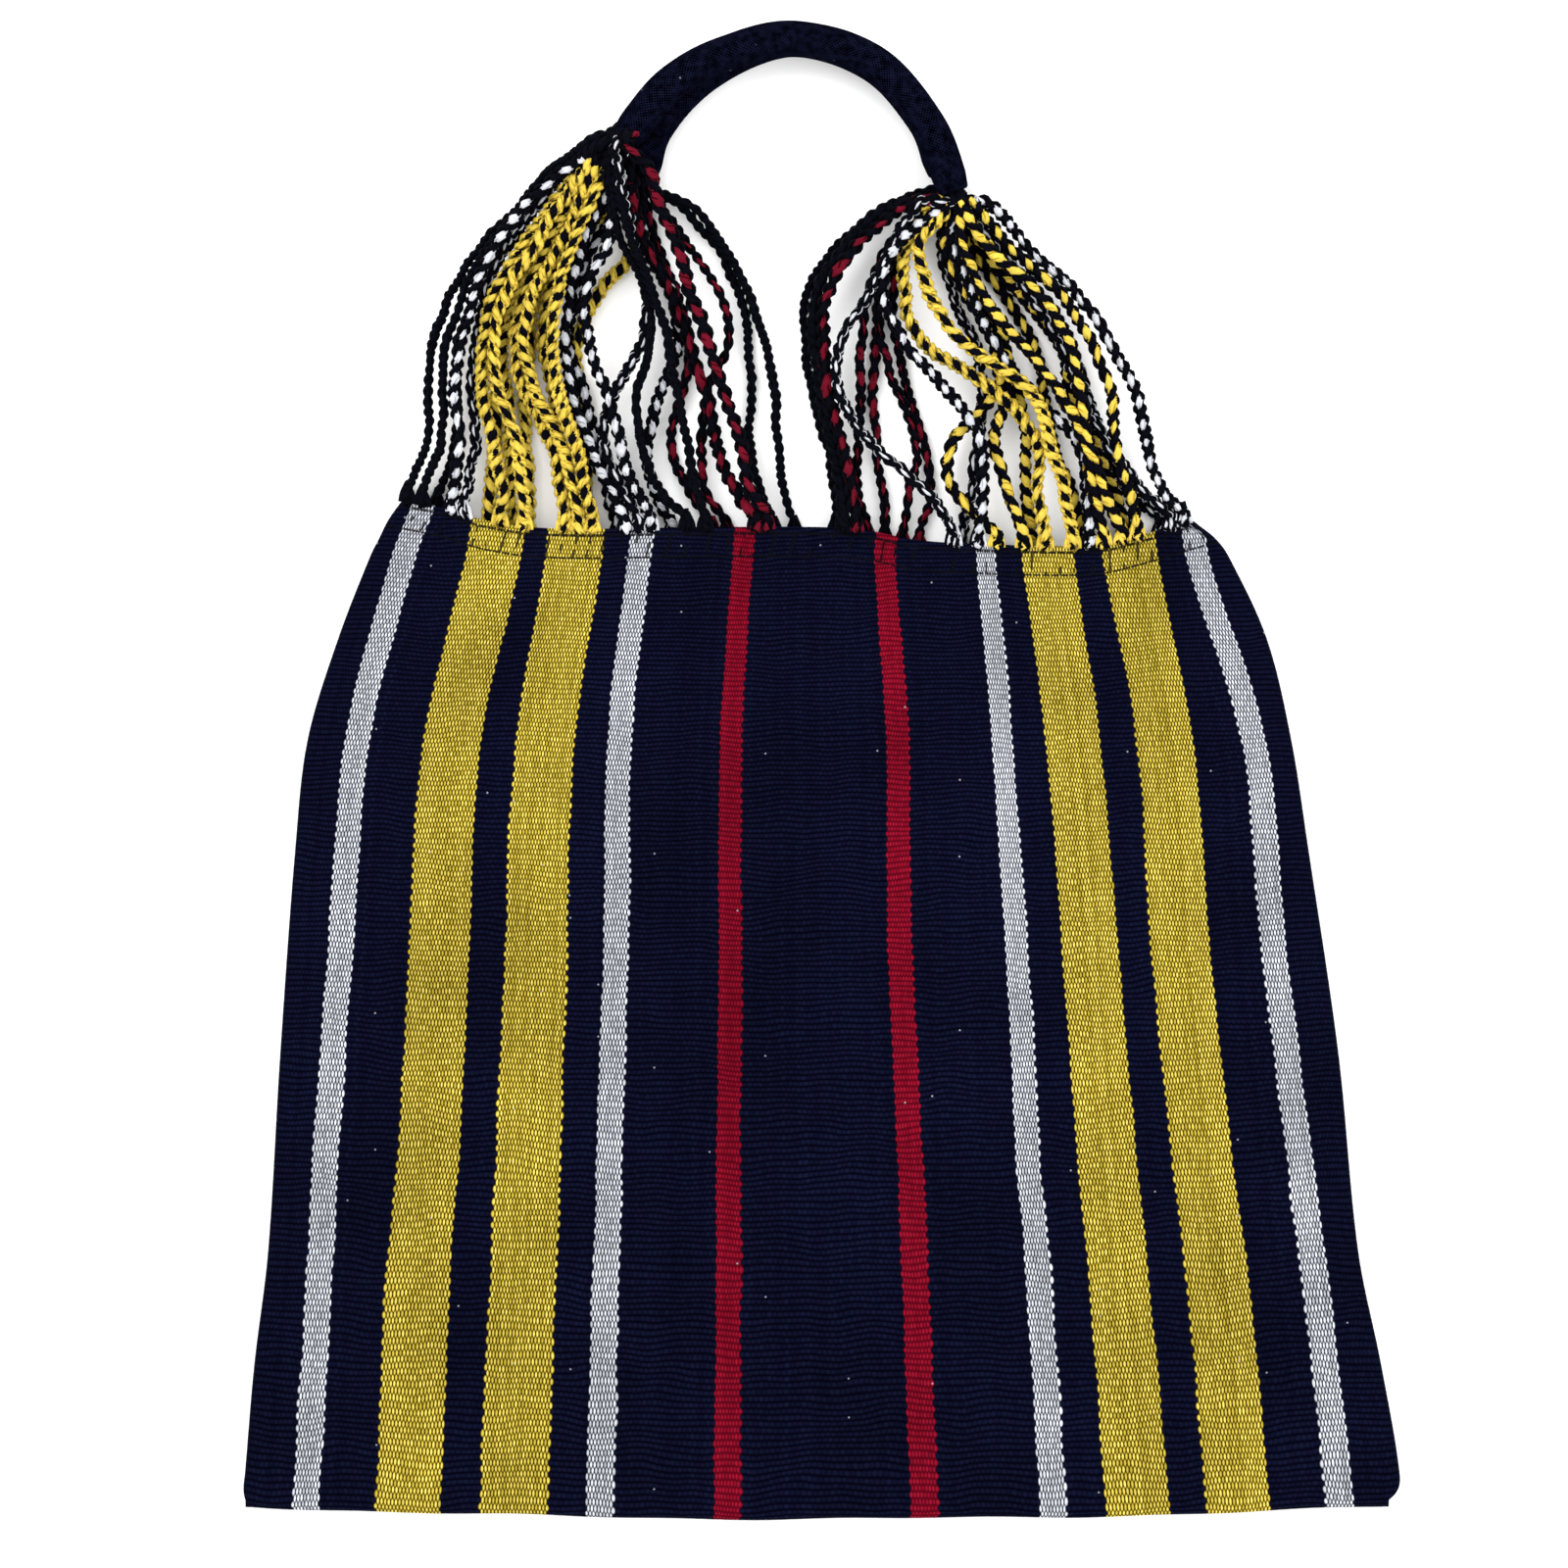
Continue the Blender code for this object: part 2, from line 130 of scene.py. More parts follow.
# Handles: padded tubes covered in cloth, the front one on the back one, and points of their lines
HANDLE_RADIUS = 5.75
HANDLE_SIDES = 32
HANDLE_STEP = 1.4
HANDLE_SPAN_STEPS = 24
HANDLE_SWAY = 0.12
HANDLE_SWAY_LENGTH = 16.0
HANDLE_SWAY_UP = 0.3
HANDLE_SWELL = 0.012
HANDLE_SWELL_LENGTH = 9.0
PIECE_GAP = 0.3
Handle = namedtuple("Handle", "side z points")
FRONT = Handle("front", 3 * HANDLE_RADIUS + PIECE_GAP, (
    (-64, 206.6), (-48.7, 224.3), (-30, 234.5), (-8, 238.8), (17, 231), (34.5, 210.6), (43, 188.8)))
BACK = Handle("back", HANDLE_RADIUS, (
    (-59, 195), (-54, 211), (-38, 228.5), (-11, 239.9), (16, 232.2), (33.6, 213.5), (39.8, 196)))

# A handle's mouth, where the cords come out: its turned rim, its inner radius and how deep it is open
RIM_RADIUS = 0.9
END_TAPER = 0.13
END_LENGTH = 6.0
RIM_STEPS = 5
MOUTH_RADIUS = 4.5
MOUTH_DEPTH = 6.0
CORD_START = 4.5
CORD_OUT = 3.0
MOUTH_FILL = 0.8
MOUTH_SQUEEZE = 0.5
SQUEEZE_LENGTH = 13.0

# Cords: how they leave the lip of the front and the back panel
LIP_OVERLAP = 1.4
BACK_FOOT_GAP = 0.3
LIP_GAP = 0.6
STEM_LENGTH = 3.0
STEM_RISE = 0.4
FOOT_RISE = 0.9
FOOT_ON_CLOTH = 0.5
SKIP_NEAR_LIP = 9.0
FLOOR_GAP = 0.1
CLOTH_HALF = 0.8

# Levels that the cords pass: the height of the lowest layer and of a step up, in front and at the back
Level = namedtuple("Level", "y front back")
LEVELS = [Level(*row) for row in (
    (195, (17.0, 1.6), (5.6, 1.2)), (185, (15.2, 2.2), (4.6, 1.6)), (172, (12.8, 2.8), (3.4, 2.4)),
    (156, (11.2, 3.2), (2.6, 3.0)), (140, (10.9, 3.2), (2.6, 3.0)), (124, (10.9, 3.2), (2.6, 3.0)),
    (108, (10.9, 3.2), (2.6, 2.6)), (92, (10.7, 2.6), (2.6, 1.6)),
)]
LIFT_FROM_Y = 165.0
LIFT_OVER = 30.0

# A thread's yarn, its size beside its cord's other threads, and the share of it that it loses in places
Thread = namedtuple("Thread", "yarn size fade", defaults=(1.0, 0.0))
NAVY = Thread("navy")
YELLOW = Thread("yellow")

# A cord's make: its radius, the length of one turn, how far out a ply lies in it and a thread in its ply and
# half a thread's thickness as shares of the radius, how much wider a thread is, and each ply's threads
Make = namedtuple("Make", "radius turn ply thread half wide plies")
MAKES = {
    "navy": Make(1.75, 6.2, 0.34, 0.20, 0.46, 1.25, ((NAVY, NAVY), (NAVY, NAVY))),
    "white": Make(2.2, 7.3, 0.42, 0.27, 0.36, 1.4, ((Thread("white", 1.3, 0.25), NAVY), (NAVY, NAVY))),
    "sparse": Make(2.1, 7.3, 0.44, 0.30, 0.30, 1.2, (
        (Thread("white", 0.75, 0.3), NAVY, Thread("white", 0.5, 0.3), NAVY),
        (NAVY, Thread("white", 0.4, 0.4), NAVY, NAVY))),
    "red": Make(1.9, 8.6, 0.38, 0.25, 0.39, 1.35, ((Thread("red", 1.2, 0.75), NAVY), (NAVY, NAVY))),
    "stout red": Make(2.5, 9.5, 0.40, 0.25, 0.38, 1.3, ((Thread("red", 1.4, 0.4), NAVY), (NAVY, NAVY))),
    "stout navy": Make(2.4, 8.2, 0.34, 0.20, 0.46, 1.25, ((NAVY, NAVY), (NAVY, NAVY))),
    "yellow": Make(2.3, 7.3, 0.42, 0.22, 0.38, 1.25, ((Thread("yellow", 1.35, 0.2), NAVY), (NAVY, NAVY))),
    "gold": Make(2.3, 6.5, 0.46, 0.18, 0.45, 1.12, ((Thread("navy", 1.12, 0.3), YELLOW), (YELLOW, YELLOW))),
}

# A cord's make, its twist's hand, its layer, x at the levels from where it comes into view down to the lip,
# x where it leaves the lip, its lift over the others next to the handle, and points it passes on its way out
Cord = namedtuple("Cord", "make hand layer xs root lift over", defaults=(0.0, ()))
FRONT_LEFT = [Cord(*row) for row in (
    ("navy", "Z", 0, (-89.5, -98, -111, -121, -127, -128, -129, -133), -135.5, 1.0,
     ((-68.7, 207.4, 20.5), (-75, 205, 20.5), (-84, 199.1, 18.5))),
    ("navy", "S", 1, (-86.8, -95, -108, -117, -122, -123.5, -124, -128), -130.5, 1.0,
     ((-67.8, 205.2, 22), (-74.2, 203, 21.5), (-82.5, 197.4, 19.5))),
    ("white", "Z", 2, (-84, -95.5, -106, -113, -117, -120, -118, -119), -121, 0.5),
    ("sparse", "S", 0, (-83, -92, -103, -110, -113, -114, -113, -115), -117),
    ("gold", "Z", 1, (-79.5, -87.5, -97, -107, -110, -110.5, -107, -104), -105),
    ("gold", "S", 2, (-78, -85, -93, -103, -107, -105, -99, -97.5), -97),
    ("gold", "Z", 0, (-82, -89, -97, -100, -97, -88.5, -85), -84),
    ("gold", "S", 1, (-74.5, -79, -85, -94, -97, -93, -85, -81), -79.5),
    ("gold", "Z", 2, (-75, -81, -86, -88, -86, -80.5, -77), -75),
    ("white", "S", 0, (-72, -78, -82, -84, -81.5, -76, -69), -64),
    ("white", "Z", 1, (-68, -70, -77, -76, -70, -66, -60.5), -56),
    ("sparse", "S", 0, (-61, -57, -59, -68, -71, -65), -60, 0.0,
     ((-67.6, 203.6, 24.3), (-65.8, 195.5, 23.5), (-64, 187, 20.5))),
    ("navy", "Z", 1, (-68, -64.5, -57, -56, -60, -59, -53), -44, 3.0, ((-69.6, 197, 21),)),
    ("navy", "S", 2, (-65.5, -61.5, -55, -50, -47, -44, -41), -38, 1.0, ((-67, 197, 20.5),)),
    ("stout red", "Z", 0, (-62, -61, -57.5, -49, -43.5, -38, -34.5, -28), -21.5),
    ("stout red", "S", 2, (-56.5, -53, -47.5, -42.5, -37, -32, -27, -23), -18, 1.0, ((-63.6, 204.5, 24),)),
)]
BACK_LEFT = [Cord(*row) for row in (
    ("navy", "Z", 1, (-103, -113, -119, -119, -120, -124), -126),
    ("gold", "S", 0, (-94, -101, -107, -107, -107, -109), -109),
    ("gold", "Z", 1, (-90, -98, -104, -103, -102, -102), -101),
    ("gold", "S", 0, (-87, -94, -96, -97.5, -97, -96), -96),
    ("gold", "Z", 1, (-83, -89, -91, -88, -86, -84), -83),
    ("gold", "S", 0, (-61, -74, -80, -80, -78, -77), -75),
    ("white", "Z", 1, (-75, -80, -83, -78, -74, -70), -67),
    ("white", "S", 1, (-57, -49, -47, -53, -57, -55), -49),
    ("red", "Z", 0, (-54, -47, -43, -46, -49, -43), -36),
    ("red", "S", 1, (-43, -33, -31, -38, -39, -38), -31),
    ("navy", "Z", 0, (-46, -34.5, -26.5, -24, -23.3, -23.5, -20), -15.5),
    ("navy", "S", 1, (-43, -32, -23.8, -18.5, -15.5, -14.5, -12), -9),
)]
FRONT_RIGHT = [Cord(*row) for row in (
    ("stout navy", "S", 0, (23.5, 8.3, -1.6, -2.6, 0, 3.8, 6.2), 7),
    ("stout red", "Z", 1, (28.5, 12, 2, 0.4, 2.2, 6, 9.5), 11),
    ("sparse", "S", 2, (32, 23, 15, 6, 5, 15.5, 34), 43),
    ("white", "Z", 2, (25, 20, 27, 41, 52, 52), 51),
    ("gold", "Z", 1, (34, 28, 27, 33, 57, 70, 70), 73),
    ("gold", "S", 2, (32, 35, 46, 68, 74, 79), 82),
    ("yellow", "Z", 0, (40, 47, 56, 57, 42.7, 43), 57),
    ("yellow", "S", 0, (44, 52, 60, 61, 56, 61), 66),
    ("white", "Z", 1, (42, 49, 56, 68, 83, 86), 87.5),
    ("yellow", "S", 2, (46, 52, 64, 77, 85, 88), 92),
    ("yellow", "S", 2, (53, 71, 81, 84, 87, 92), 98),
    ("yellow", "Z", 1, (50, 60.5, 78, 88, 94, 96, 100), 103),
    ("sparse", "S", 0, (56, 68, 78, 84, 93, 105), 114),
    ("white", "Z", 0, (55, 67, 84, 94, 103, 106, 111), 118.5),
)]
BACK_RIGHT = [Cord(*row) for row in (
    ("navy", "Z", 0, (21.5, 4.8, -5.1, -5.5, -2.9, 1.4, 4.4), 4.5),
    ("red", "S", 1, (22, 15, 13, 13, 12, 12), 15),
    ("red", "Z", 0, (24, 19, 18, 17, 18, 20), 21),
    ("red", "S", 1, (26, 19, 20, 25, 31, 29), 26.5),
    ("red", "Z", 0, (28, 23, 25, 28, 34, 36), 32),
    ("sparse", "S", 1, (39, 43, 50, 53, 51, 49), 46),
    ("yellow", "S", 1, (43, 50, 58, 64, 67, 67), 69),
    ("yellow", "Z", 0, (49, 60, 70, 73, 76, 82), 86),
    ("yellow", "S", 1, (52, 66, 78, 82, 90, 96), 100),
    ("sparse", "Z", 0, (58, 72, 82, 87, 93, 101), 111),
)]

# A bundle of cords: its node, its handle, whether at the right end, and how far navy yarn is wound over it
Bundle = namedtuple("Bundle", "node cords handle right wound")
BUNDLES = [
    Bundle("cords_front_left", FRONT_LEFT, FRONT, False, 12.0),
    Bundle("cords_back_left", BACK_LEFT, BACK, False, 12.0),
    Bundle("cords_front_right", FRONT_RIGHT, FRONT, True, 5.0),
    Bundle("cords_back_right", BACK_RIGHT, BACK, True, 5.0),
]

# How the threads are drawn, and how unevenly they were spun and laid
THREAD_SIDES = 6
RINGS_PER_TURN = 10
PATH_STEPS = 16
THREAD_SWELL = 0.13
SWELL_LENGTH = 2.4
THREAD_SWAY = 0.16
LEAN = 0.55
WOUND_SWAY = 2.5
HEAD_SWELL = 0.35
HEAD_LENGTH = 45.0
FADE_LENGTH = 9.0
TURN_SWAY = 0.22
SWAY_LENGTH = 12.0
CORD_SWAY = 0.5
CORD_SWAY_UP = 0.4
STILL_AT_HANDLE = 20.0
STILL_AT_LIP = 12.0
NEVER_ZERO = 0.01
SIZE_SWAY = 0.07
ROOT_FLAT = 0.55
ROOT_WIDE = 1.15
ROOT_EASE = 4.0

# Warp ends that fan out from a cord's foot along the lip
FAN_THREADS = 6
FAN_HALF = 3.0
FAN_HEIGHT = 6.0
FAN_TOP_HALF = 0.5
FAN_BEND = (0.7, -0.6, 0.5)
FAN_START = 0.8
FAN_BACK_RISE = 0.6
FAN_RADIUS = 0.62
FAN_HEIGHTS = (0.8, 1.1)
FAN_SIZES = (0.85, 1.15)
FAN_FLATTENING = 1.1
FAN_STEPS = 6

# The yarns; in a groove between two strands a yarn's colour is taken to this power, as a deeper painted shade
YARNS = ("navy", "white", "yellow", "red")
GROOVE_SHADE_POWER = 1.7

# Half a grain of the weave, in warp ends across and weft rows along, the painted shade between grains, and
# how far a yarn shows its grains and not plain ribs; above a share of 0.61 a yarn's crowns get a painted
# highlight
GRAIN_HALF_WIDTH = 0.5
GRAIN_HALF_LENGTH = 0.8
PAINTED_GAP_SHADES = {"navy": "000007", "white": "15181F", "yellow": "281900", "red": "37000A"}
GRAININESS = {"navy": 0.35, "white": 1.0, "yellow": 1.0, "red": 0.6}
HIGHLIGHT_FROM = 0.61
CROWN_HIGHLIGHT = 0.08

# How far the weave strays from side to side, in warp ends and weft rows
STRAY = (1.3, 2.6, 0.0)

# The heading: how far each row of thread lies below the lip and half its thickness, the warp ends to a stitch
# and for how much of one it dips under, and a slanting stitch's lean, spacing, place and half thickness, and
# its middle and half its height
HEADING_ROWS = ((2.2, 0.45), (9.6, 0.35))
STITCH_ENDS = 3.0
STITCH_DIP = 0.35
SLANT_LEAN = 0.14
SLANT_ENDS = 4.7
SLANT_PLACE = (2.3, 0.4)
SLANT_REACH = (5.9, 3.6)
THREAD_SHADE = "07070C"
THREAD_COVER = 0.9

# A cord's thread: its strands, and the length in which one passes right round it
STRANDS = 3.0
STRAND_TURN = 9.0

# The cover's threads round a handle and their pitch along it; the real pitch, 0.4 mm, is too fine to show
COVER_THREADS = 60
COVER_PITCH = 0.6

# Lint in specks of 0.6 mm on the cloth and 0.8 mm on the cover: its cells to a metre, the share of them left
# bare, a speck's reach in its cell, and how far it covers
Lint = namedtuple("Lint", "scale bare reach cover shade")
CLOTH_LINT = Lint(110.0, 0.94, 0.035, 0.4, "ACAFB8")
COVER_LINT = Lint(240.0, 0.82, 0.09, 0.25, "9498A7")

# A cotton's roughness, shine, sheen's roughness and tint, and its bump's strength and depth
SHEEN = 0.004
Finish = namedtuple("Finish", "roughness specular sheen tint strength depth")
CLOTH_FINISH = Finish(0.85, 0.012, 0.4, "C8CCE0", 0.7, 0.35)
YARN_FINISH = Finish(0.9, 0.025, 0.5, "FFFFFF", 0.6, 0.25)
COVER_FINISH = Finish(0.9, 0.0, 0.45, "B8BCD8", 0.6, 0.2)

# Stage: the floor's place under the bag, where the camera stands, the height that its field is measured at,
# and each light's place and size in metres and its share of the key light's power
FLOOR_DROP = 0.3
CAMERA_X, CAMERA_Y = -12.3, -3.7
FIELD_HEIGHT = 10.0
LIGHTS = (
    ("key_light", (-0.7, 0.8, 1.5), 1.1, 1.0),
    ("side_light", (0.9, 0.1, 1.3), 1.2, 0.45),
)


def linear(hex_colour):
    """An sRGB hex colour as linear red, green, blue and alpha."""
    channels = [int(hex_colour[i:i + 2], 16) / 255 for i in (0, 2, 4)]
    return [c / 12.92 if c <= 0.04045 else ((c + 0.055) / 1.055) ** 2.4 for c in channels] + [1.0]


def smoothstep(t):
    t = np.clip(t, 0.0, 1.0)
    return t * t * (3 - 2 * t)


def interpolate(keys, values, at):
    """Values at places between keys, on a smooth curve that runs on straight past both ends."""
    keys, values, at = np.array(keys, float), np.array(values, float), np.asarray(at, float)
    slopes = np.diff(values) / np.diff(keys)
    middle = (values[2:] - values[:-2]) / (keys[2:] - keys[:-2])
    slopes = np.concatenate([slopes[:1], middle, slopes[-1:]])
    i = np.clip(np.searchsorted(keys, at) - 1, 0, len(keys) - 2)
    span = keys[i + 1] - keys[i]
    t = (at - keys[i]) / span
    s = np.clip(t, 0, 1)
    rise = values[i + 1] - values[i]
    start, end = slopes[i] * span, slopes[i + 1] * span
    curve = values[i] + s * (start + s * (3 * rise - 2 * start - end + s * (start + end - 2 * rise)))
    return curve + (t - s) * np.where(t > s, end, start)


def column(rows, key, name, at):
    """A table's column at places of its key column."""
    return interpolate([getattr(row, key) for row in rows], [getattr(row, name) for row in rows], at)


def smooth_path(points, steps):
    """A Catmull-Rom curve through the points, with so many steps in each span."""
    points = np.array(points, float)
    ends = np.vstack([2 * points[0] - points[1], points, 2 * points[-1] - points[-2]])
    a, b, c, d = (ends[k:len(ends) - 3 + k, None] for k in range(4))
    t = (np.arange(steps) / steps)[None, :, None]
    bend, turn = 2 * a - 5 * b + 4 * c - d, 3 * b - a - 3 * c + d
    spans = 0.5 * (2 * b + (c - a) * t + bend * t ** 2 + turn * t ** 3)
    return np.vstack([spans.reshape(-1, 3), points[-1:]])


def even_steps(path, step):
    """The path in even steps of about that length, and how far along it each point lies."""
    gaps = np.linalg.norm(np.diff(path, axis=0), axis=1)
    along = np.concatenate([[0.0], np.cumsum(gaps)])
    at = np.linspace(0.0, along[-1], max(3, round(along[-1] / step)) + 1)
    return np.stack([np.interp(at, along, path[:, k]) for k in range(3)], axis=1), at


def unit(vectors):
    return vectors / np.linalg.norm(vectors, axis=-1, keepdims=True)


def wander(rng, along, length, count=1):
    """Smooth noise from -1 to 1 along a line, with a new value every so many mm."""
    knots = np.arange(along[0] - length, along[-1] + 3 * length, length)
    rows = [interpolate(knots, rng.uniform(-1, 1, len(knots)), along) for _ in range(count)]
    return rows[0] if count == 1 else np.stack(rows, axis=1)


def add_object(name, data):
    item = bpy.data.objects.new(name, data)
    bpy.context.scene.collection.objects.link(item)
    return item


# Cloth


def fold_y(x):
    wave = FOLD_LINE_WAVE * sum(share * np.sin(x / length + phase) for share, length, phase in FOLD_WAVES)
    return FOLD_LINE_Y + FOLD_LINE_WAVE + FOLD_LINE_BOW * (x / HALF_WIDTH) ** 2 + wave


def lip_y(x, setback=0.0):
    first, last = LIP[0].x, LIP[-1].x
    across = np.clip((x - first) / (last - first), 0.0, 1.0)
    return column(LIP, "x", "y", x) - setback * np.sin(np.pi * across)


def warp_layout():
    """The warp ends at the stripes' edges, from the left seam to the right one."""
    edges = [0]
    for stripe, gap in zip(STRIPES, NAVY_ENDS):
        edges += [edges[-1] + gap, edges[-1] + gap + stripe.ends]
    return np.array(edges + [edges[-1] + NAVY_ENDS[-1]], float)


WARP_EDGES = warp_layout()


def seams(y):
    """x of the left and of the right seam at heights y."""
    return column(SIDES, "y", "left", y) + SEAM_RADIUS, column(SIDES, "y", "right", y) - SEAM_RADIUS


def edge_places(y):
    """x of the left seam, of every stripe edge and of the right seam at heights y."""
    left, right = seams(y)
    places = [left]
    upward = np.clip((y - LOW_WIDTH_Y) / (HIGH_WIDTH_Y - LOW_WIDTH_Y), 0, 1.1)
    for stripe in STRIPES:
        middle = interpolate(STRIPE_LEVELS, stripe.xs, y)
        half = (stripe.low + (stripe.high - stripe.low) * upward) / 2
        places += [middle - half, middle + half]
    places.append(right)
    count = len(places)
    for i in range(1, count - 1):
        places[i] = np.clip(places[i], left + STRIPE_GAP * i, right - STRIPE_GAP * (count - 1 - i))
    return np.array(places)


def warp_x(end, y):
    """x of a warp end at heights y."""
    i = min(int(np.searchsorted(WARP_EDGES, end, side="right")) - 1, len(WARP_EDGES) - 2)
    share = (end - WARP_EDGES[i]) / (WARP_EDGES[i + 1] - WARP_EDGES[i])
    places = edge_places(y)
    return places[i] + share * (places[i + 1] - places[i])


def panel_columns():
    """The warp ends of the mesh's columns, one of them on each edge of a stripe."""
    ends = [0.0]
    for low, high in zip(WARP_EDGES, WARP_EDGES[1:]):
        count = max(2, round((high - low) / ENDS_PER_COLUMN))
        ends += [low + (high - low) * (k + 1) / count for k in range(count)]
    return np.array(ends)


def weft_rows(y):
    """How many weft rows lie between the fold line and a height y."""
    heights = np.linspace(FOLD_LINE_Y, LIP[0].y, ROW_SAMPLES)
    pitch = column(ROWS, "y", "pitch", heights)
    rows = np.concatenate([[0.0], np.cumsum(np.diff(heights) * 2 / (pitch[1:] + pitch[:-1]))])
    return np.interp(y, heights, rows)


def front_rise(x, y):
    """How far the front panel stands above the flat of its seams."""
    left, right = seams(y)
    side = smoothstep(np.minimum(x - left, right - x) / SIDE_EASE)
    rise = POCKET_RISE * side * smoothstep((y - fold_y(x)) / FOLD_EASE)
    for gather in GATHERS:
        along = np.clip(1 - (lip_y(x) - y) / gather.length, 0, None)
        rise = rise + gather.rise * side * np.exp(-((x - gather.x) / gather.width) ** 2) * along ** 2
    return rise


def panel_points(ends, up, setback):
    """x and y of a panel's points for each row (up) and each column (ends)."""
    up = up[:, None]
    y = FOLD_LINE_Y + up * (LIP[0].y - FOLD_LINE_Y) + np.zeros(len(ends))
    for _ in range(EDGE_PASSES):
        x = np.stack([warp_x(end, y[:, k]) for k, end in enumerate(ends)], axis=1)
        bottom = fold_y(x) + SEAM_RADIUS
        y = bottom + up * (lip_y(x, setback) - bottom)
    return x, y


def cloth_rings():
    """The pocket's loops of points from the fold to the lip, each point with its place in the weave."""
    ends = panel_columns()
    turn = 2 * math.pi * np.arange(PANEL_ROWS + 1) / PANEL_ROWS
    up = (turn - ROW_CROWDING * np.sin(turn)) / (2 * math.pi)
    lifts = [math.sin(math.pi / 2 * step / SEAM_STEPS) for step in range(SEAM_STEPS)]
    lift = np.array(lifts + [1.0] * len(up))[:, None]
    up = np.concatenate([np.zeros(len(lifts)), up])
    drop = SEAM_RADIUS * np.sqrt(1 - lift ** 2)
    loops, weaves = [], []
    # The back panel runs from the left to the right seam and the front one returns
    for way, setback in ((1, BACK_LIP_SETBACK), (-1, 0.0)):
        x, y = panel_points(ends, up, setback)
        flat = 2 * SEAM_RADIUS + front_rise(x, y) if way == -1 else np.zeros_like(x)
        z = SEAM_RADIUS + (flat - SEAM_RADIUS) * lift
        rows = weft_rows(y) - weft_rows(fold_y(x) + SEAM_RADIUS) + FOLD_ROWS * (1 - drop / SEAM_RADIUS)
        below = lip_y(x, setback) - y
        loops.append(np.stack([x, y - drop, z], axis=2)[:, ::way])
        weaves.append(np.stack([np.broadcast_to(ends, x.shape), rows, below], axis=2)[:, ::way])
        corner, corner_weave = loops[-1][:, -1], weaves[-1][:, -1]
        for step in range(1, SEAM_STEPS):
            angle = math.pi * step / SEAM_STEPS
            out = way * SEAM_RADIUS * math.sin(angle)
            rise = SEAM_RADIUS - way * SEAM_RADIUS * math.cos(angle) * lift[:, 0]
            loops.append(np.stack([corner[:, 0] + out, corner[:, 1], rise], axis=1)[:, None])
            beyond = corner_weave.copy()
            beyond[:, 0] += way * SEAM_ENDS * math.sin(angle)
            weaves.append(beyond[:, None])
    return np.concatenate(loops, axis=1), np.concatenate(weaves, axis=1)


def build_cloth(thickness):
    """The pocket as one sheet, each point with its warp end, weft row and distance below the lip."""
    places, weave = cloth_rings()
    rows, count = places.shape[:2]
    mesh = bmesh.new()
    layer = mesh.verts.layers.float_vector.new("weave")
    grid = []
    for place, value in zip(places.reshape(-1, 3), weave.reshape(-1, 3)):
        vertex = mesh.verts.new(place * MM)
        vertex[layer] = value
        grid.append(vertex)
    for i in range(rows - 1):
        for j in range(count):
            k = (j + 1) % count
            corners = (i * count + j, (i + 1) * count + j, (i + 1) * count + k, i * count + k)
            mesh.faces.new([grid[corner] for corner in corners])
    bmesh.ops.remove_doubles(mesh, verts=mesh.verts, dist=WELD * MM)
    data = bpy.data.meshes.new("woven_pocket")
    mesh.to_mesh(data)
    mesh.free()
    data.shade_smooth()
    cloth = add_object("woven_pocket", data)
    solidify = cloth.modifiers.new("thickness", "SOLIDIFY")
    solidify.thickness = thickness
    solidify.offset = -1
    solidify.use_even_offset = True
    return cloth


# Tubes


class Tubes:
    """Rings of points that are joined into closed tubes and made into one mesh."""

    def __init__(self):
        self.points, self.faces, self.lay, self.slots = [], [], [], []
        self.count = 0

    def add(self, rings, along, slot):
        """Adds one tube of rings (ring, side, xyz), with each ring's place along it and its material."""
        n, sides = rings.shape[:2]
        i, j = np.meshgrid(np.arange(n - 1), np.arange(sides), indexing="ij")
        i, j = i.ravel(), j.ravel()
        k = (j + 1) % sides
        quads = np.stack([i * sides + j, i * sides + k, (i + 1) * sides + k, (i + 1) * sides + j], axis=1)
        low, high = along[i] * MM, along[i + 1] * MM
        lay = np.stack([j, low, j + 1, low, j + 1, high, j, high], axis=1).reshape(-1, 2)
        lay = lay / (sides, 1.0)
        rings[:, :, 2] = np.maximum(rings[:, :, 2], FLOOR_GAP)
        first = self.count
        self.faces += (quads + first).tolist()
        self.faces.append([first + side for side in reversed(range(sides))])
        self.faces.append([first + (n - 1) * sides + side for side in range(sides)])
        self.lay.append(lay)
        self.lay += [np.tile([0.0, along[end] * MM], (sides, 1)) for end in (0, -1)]
        slot = np.broadcast_to(slot, n)
        self.slots.append(np.concatenate([slot[i], slot[:1], slot[-1:]]))
        self.points.append(rings.reshape(-1, 3))
        self.count += n * sides

    def build(self, name, materials):
        data = bpy.data.meshes.new(name)
        data.from_pydata((np.concatenate(self.points) * MM).tolist(), [], self.faces)
        data.polygons.foreach_set("material_index", np.concatenate(self.slots).astype(np.int32))
        layer = data.uv_layers.new(name="yarn_lay")
        layer.uv.foreach_set("vector", np.concatenate(self.lay).astype(np.float32).ravel())
        for material in materials:
            data.materials.append(material)
        data.shade_smooth()
        data.update()
        return add_object(name, data)


def tube_rings(line, outward, thick, wide, sides):
    """Rings round a line: thick is measured towards outward, and wide across it."""
    tangent = unit(np.gradient(line, axis=0))
    outward = outward - tangent * (outward * tangent).sum(1, keepdims=True)
    outward = unit(outward)
    across = np.cross(tangent, outward)
    angle = 2 * np.pi * np.arange(sides) / sides
    thick, wide = (np.broadcast_to(size, len(line))[:, None, None] for size in (thick, wide))
    return (line[:, None] + thick * np.cos(angle)[None, :, None] * outward[:, None]
            + wide * np.sin(angle)[None, :, None] * across[:, None])


# Cords


def handle_line(handle):
    return smooth_path([(x, y, handle.z) for x, y in handle.points], HANDLE_SPAN_STEPS)


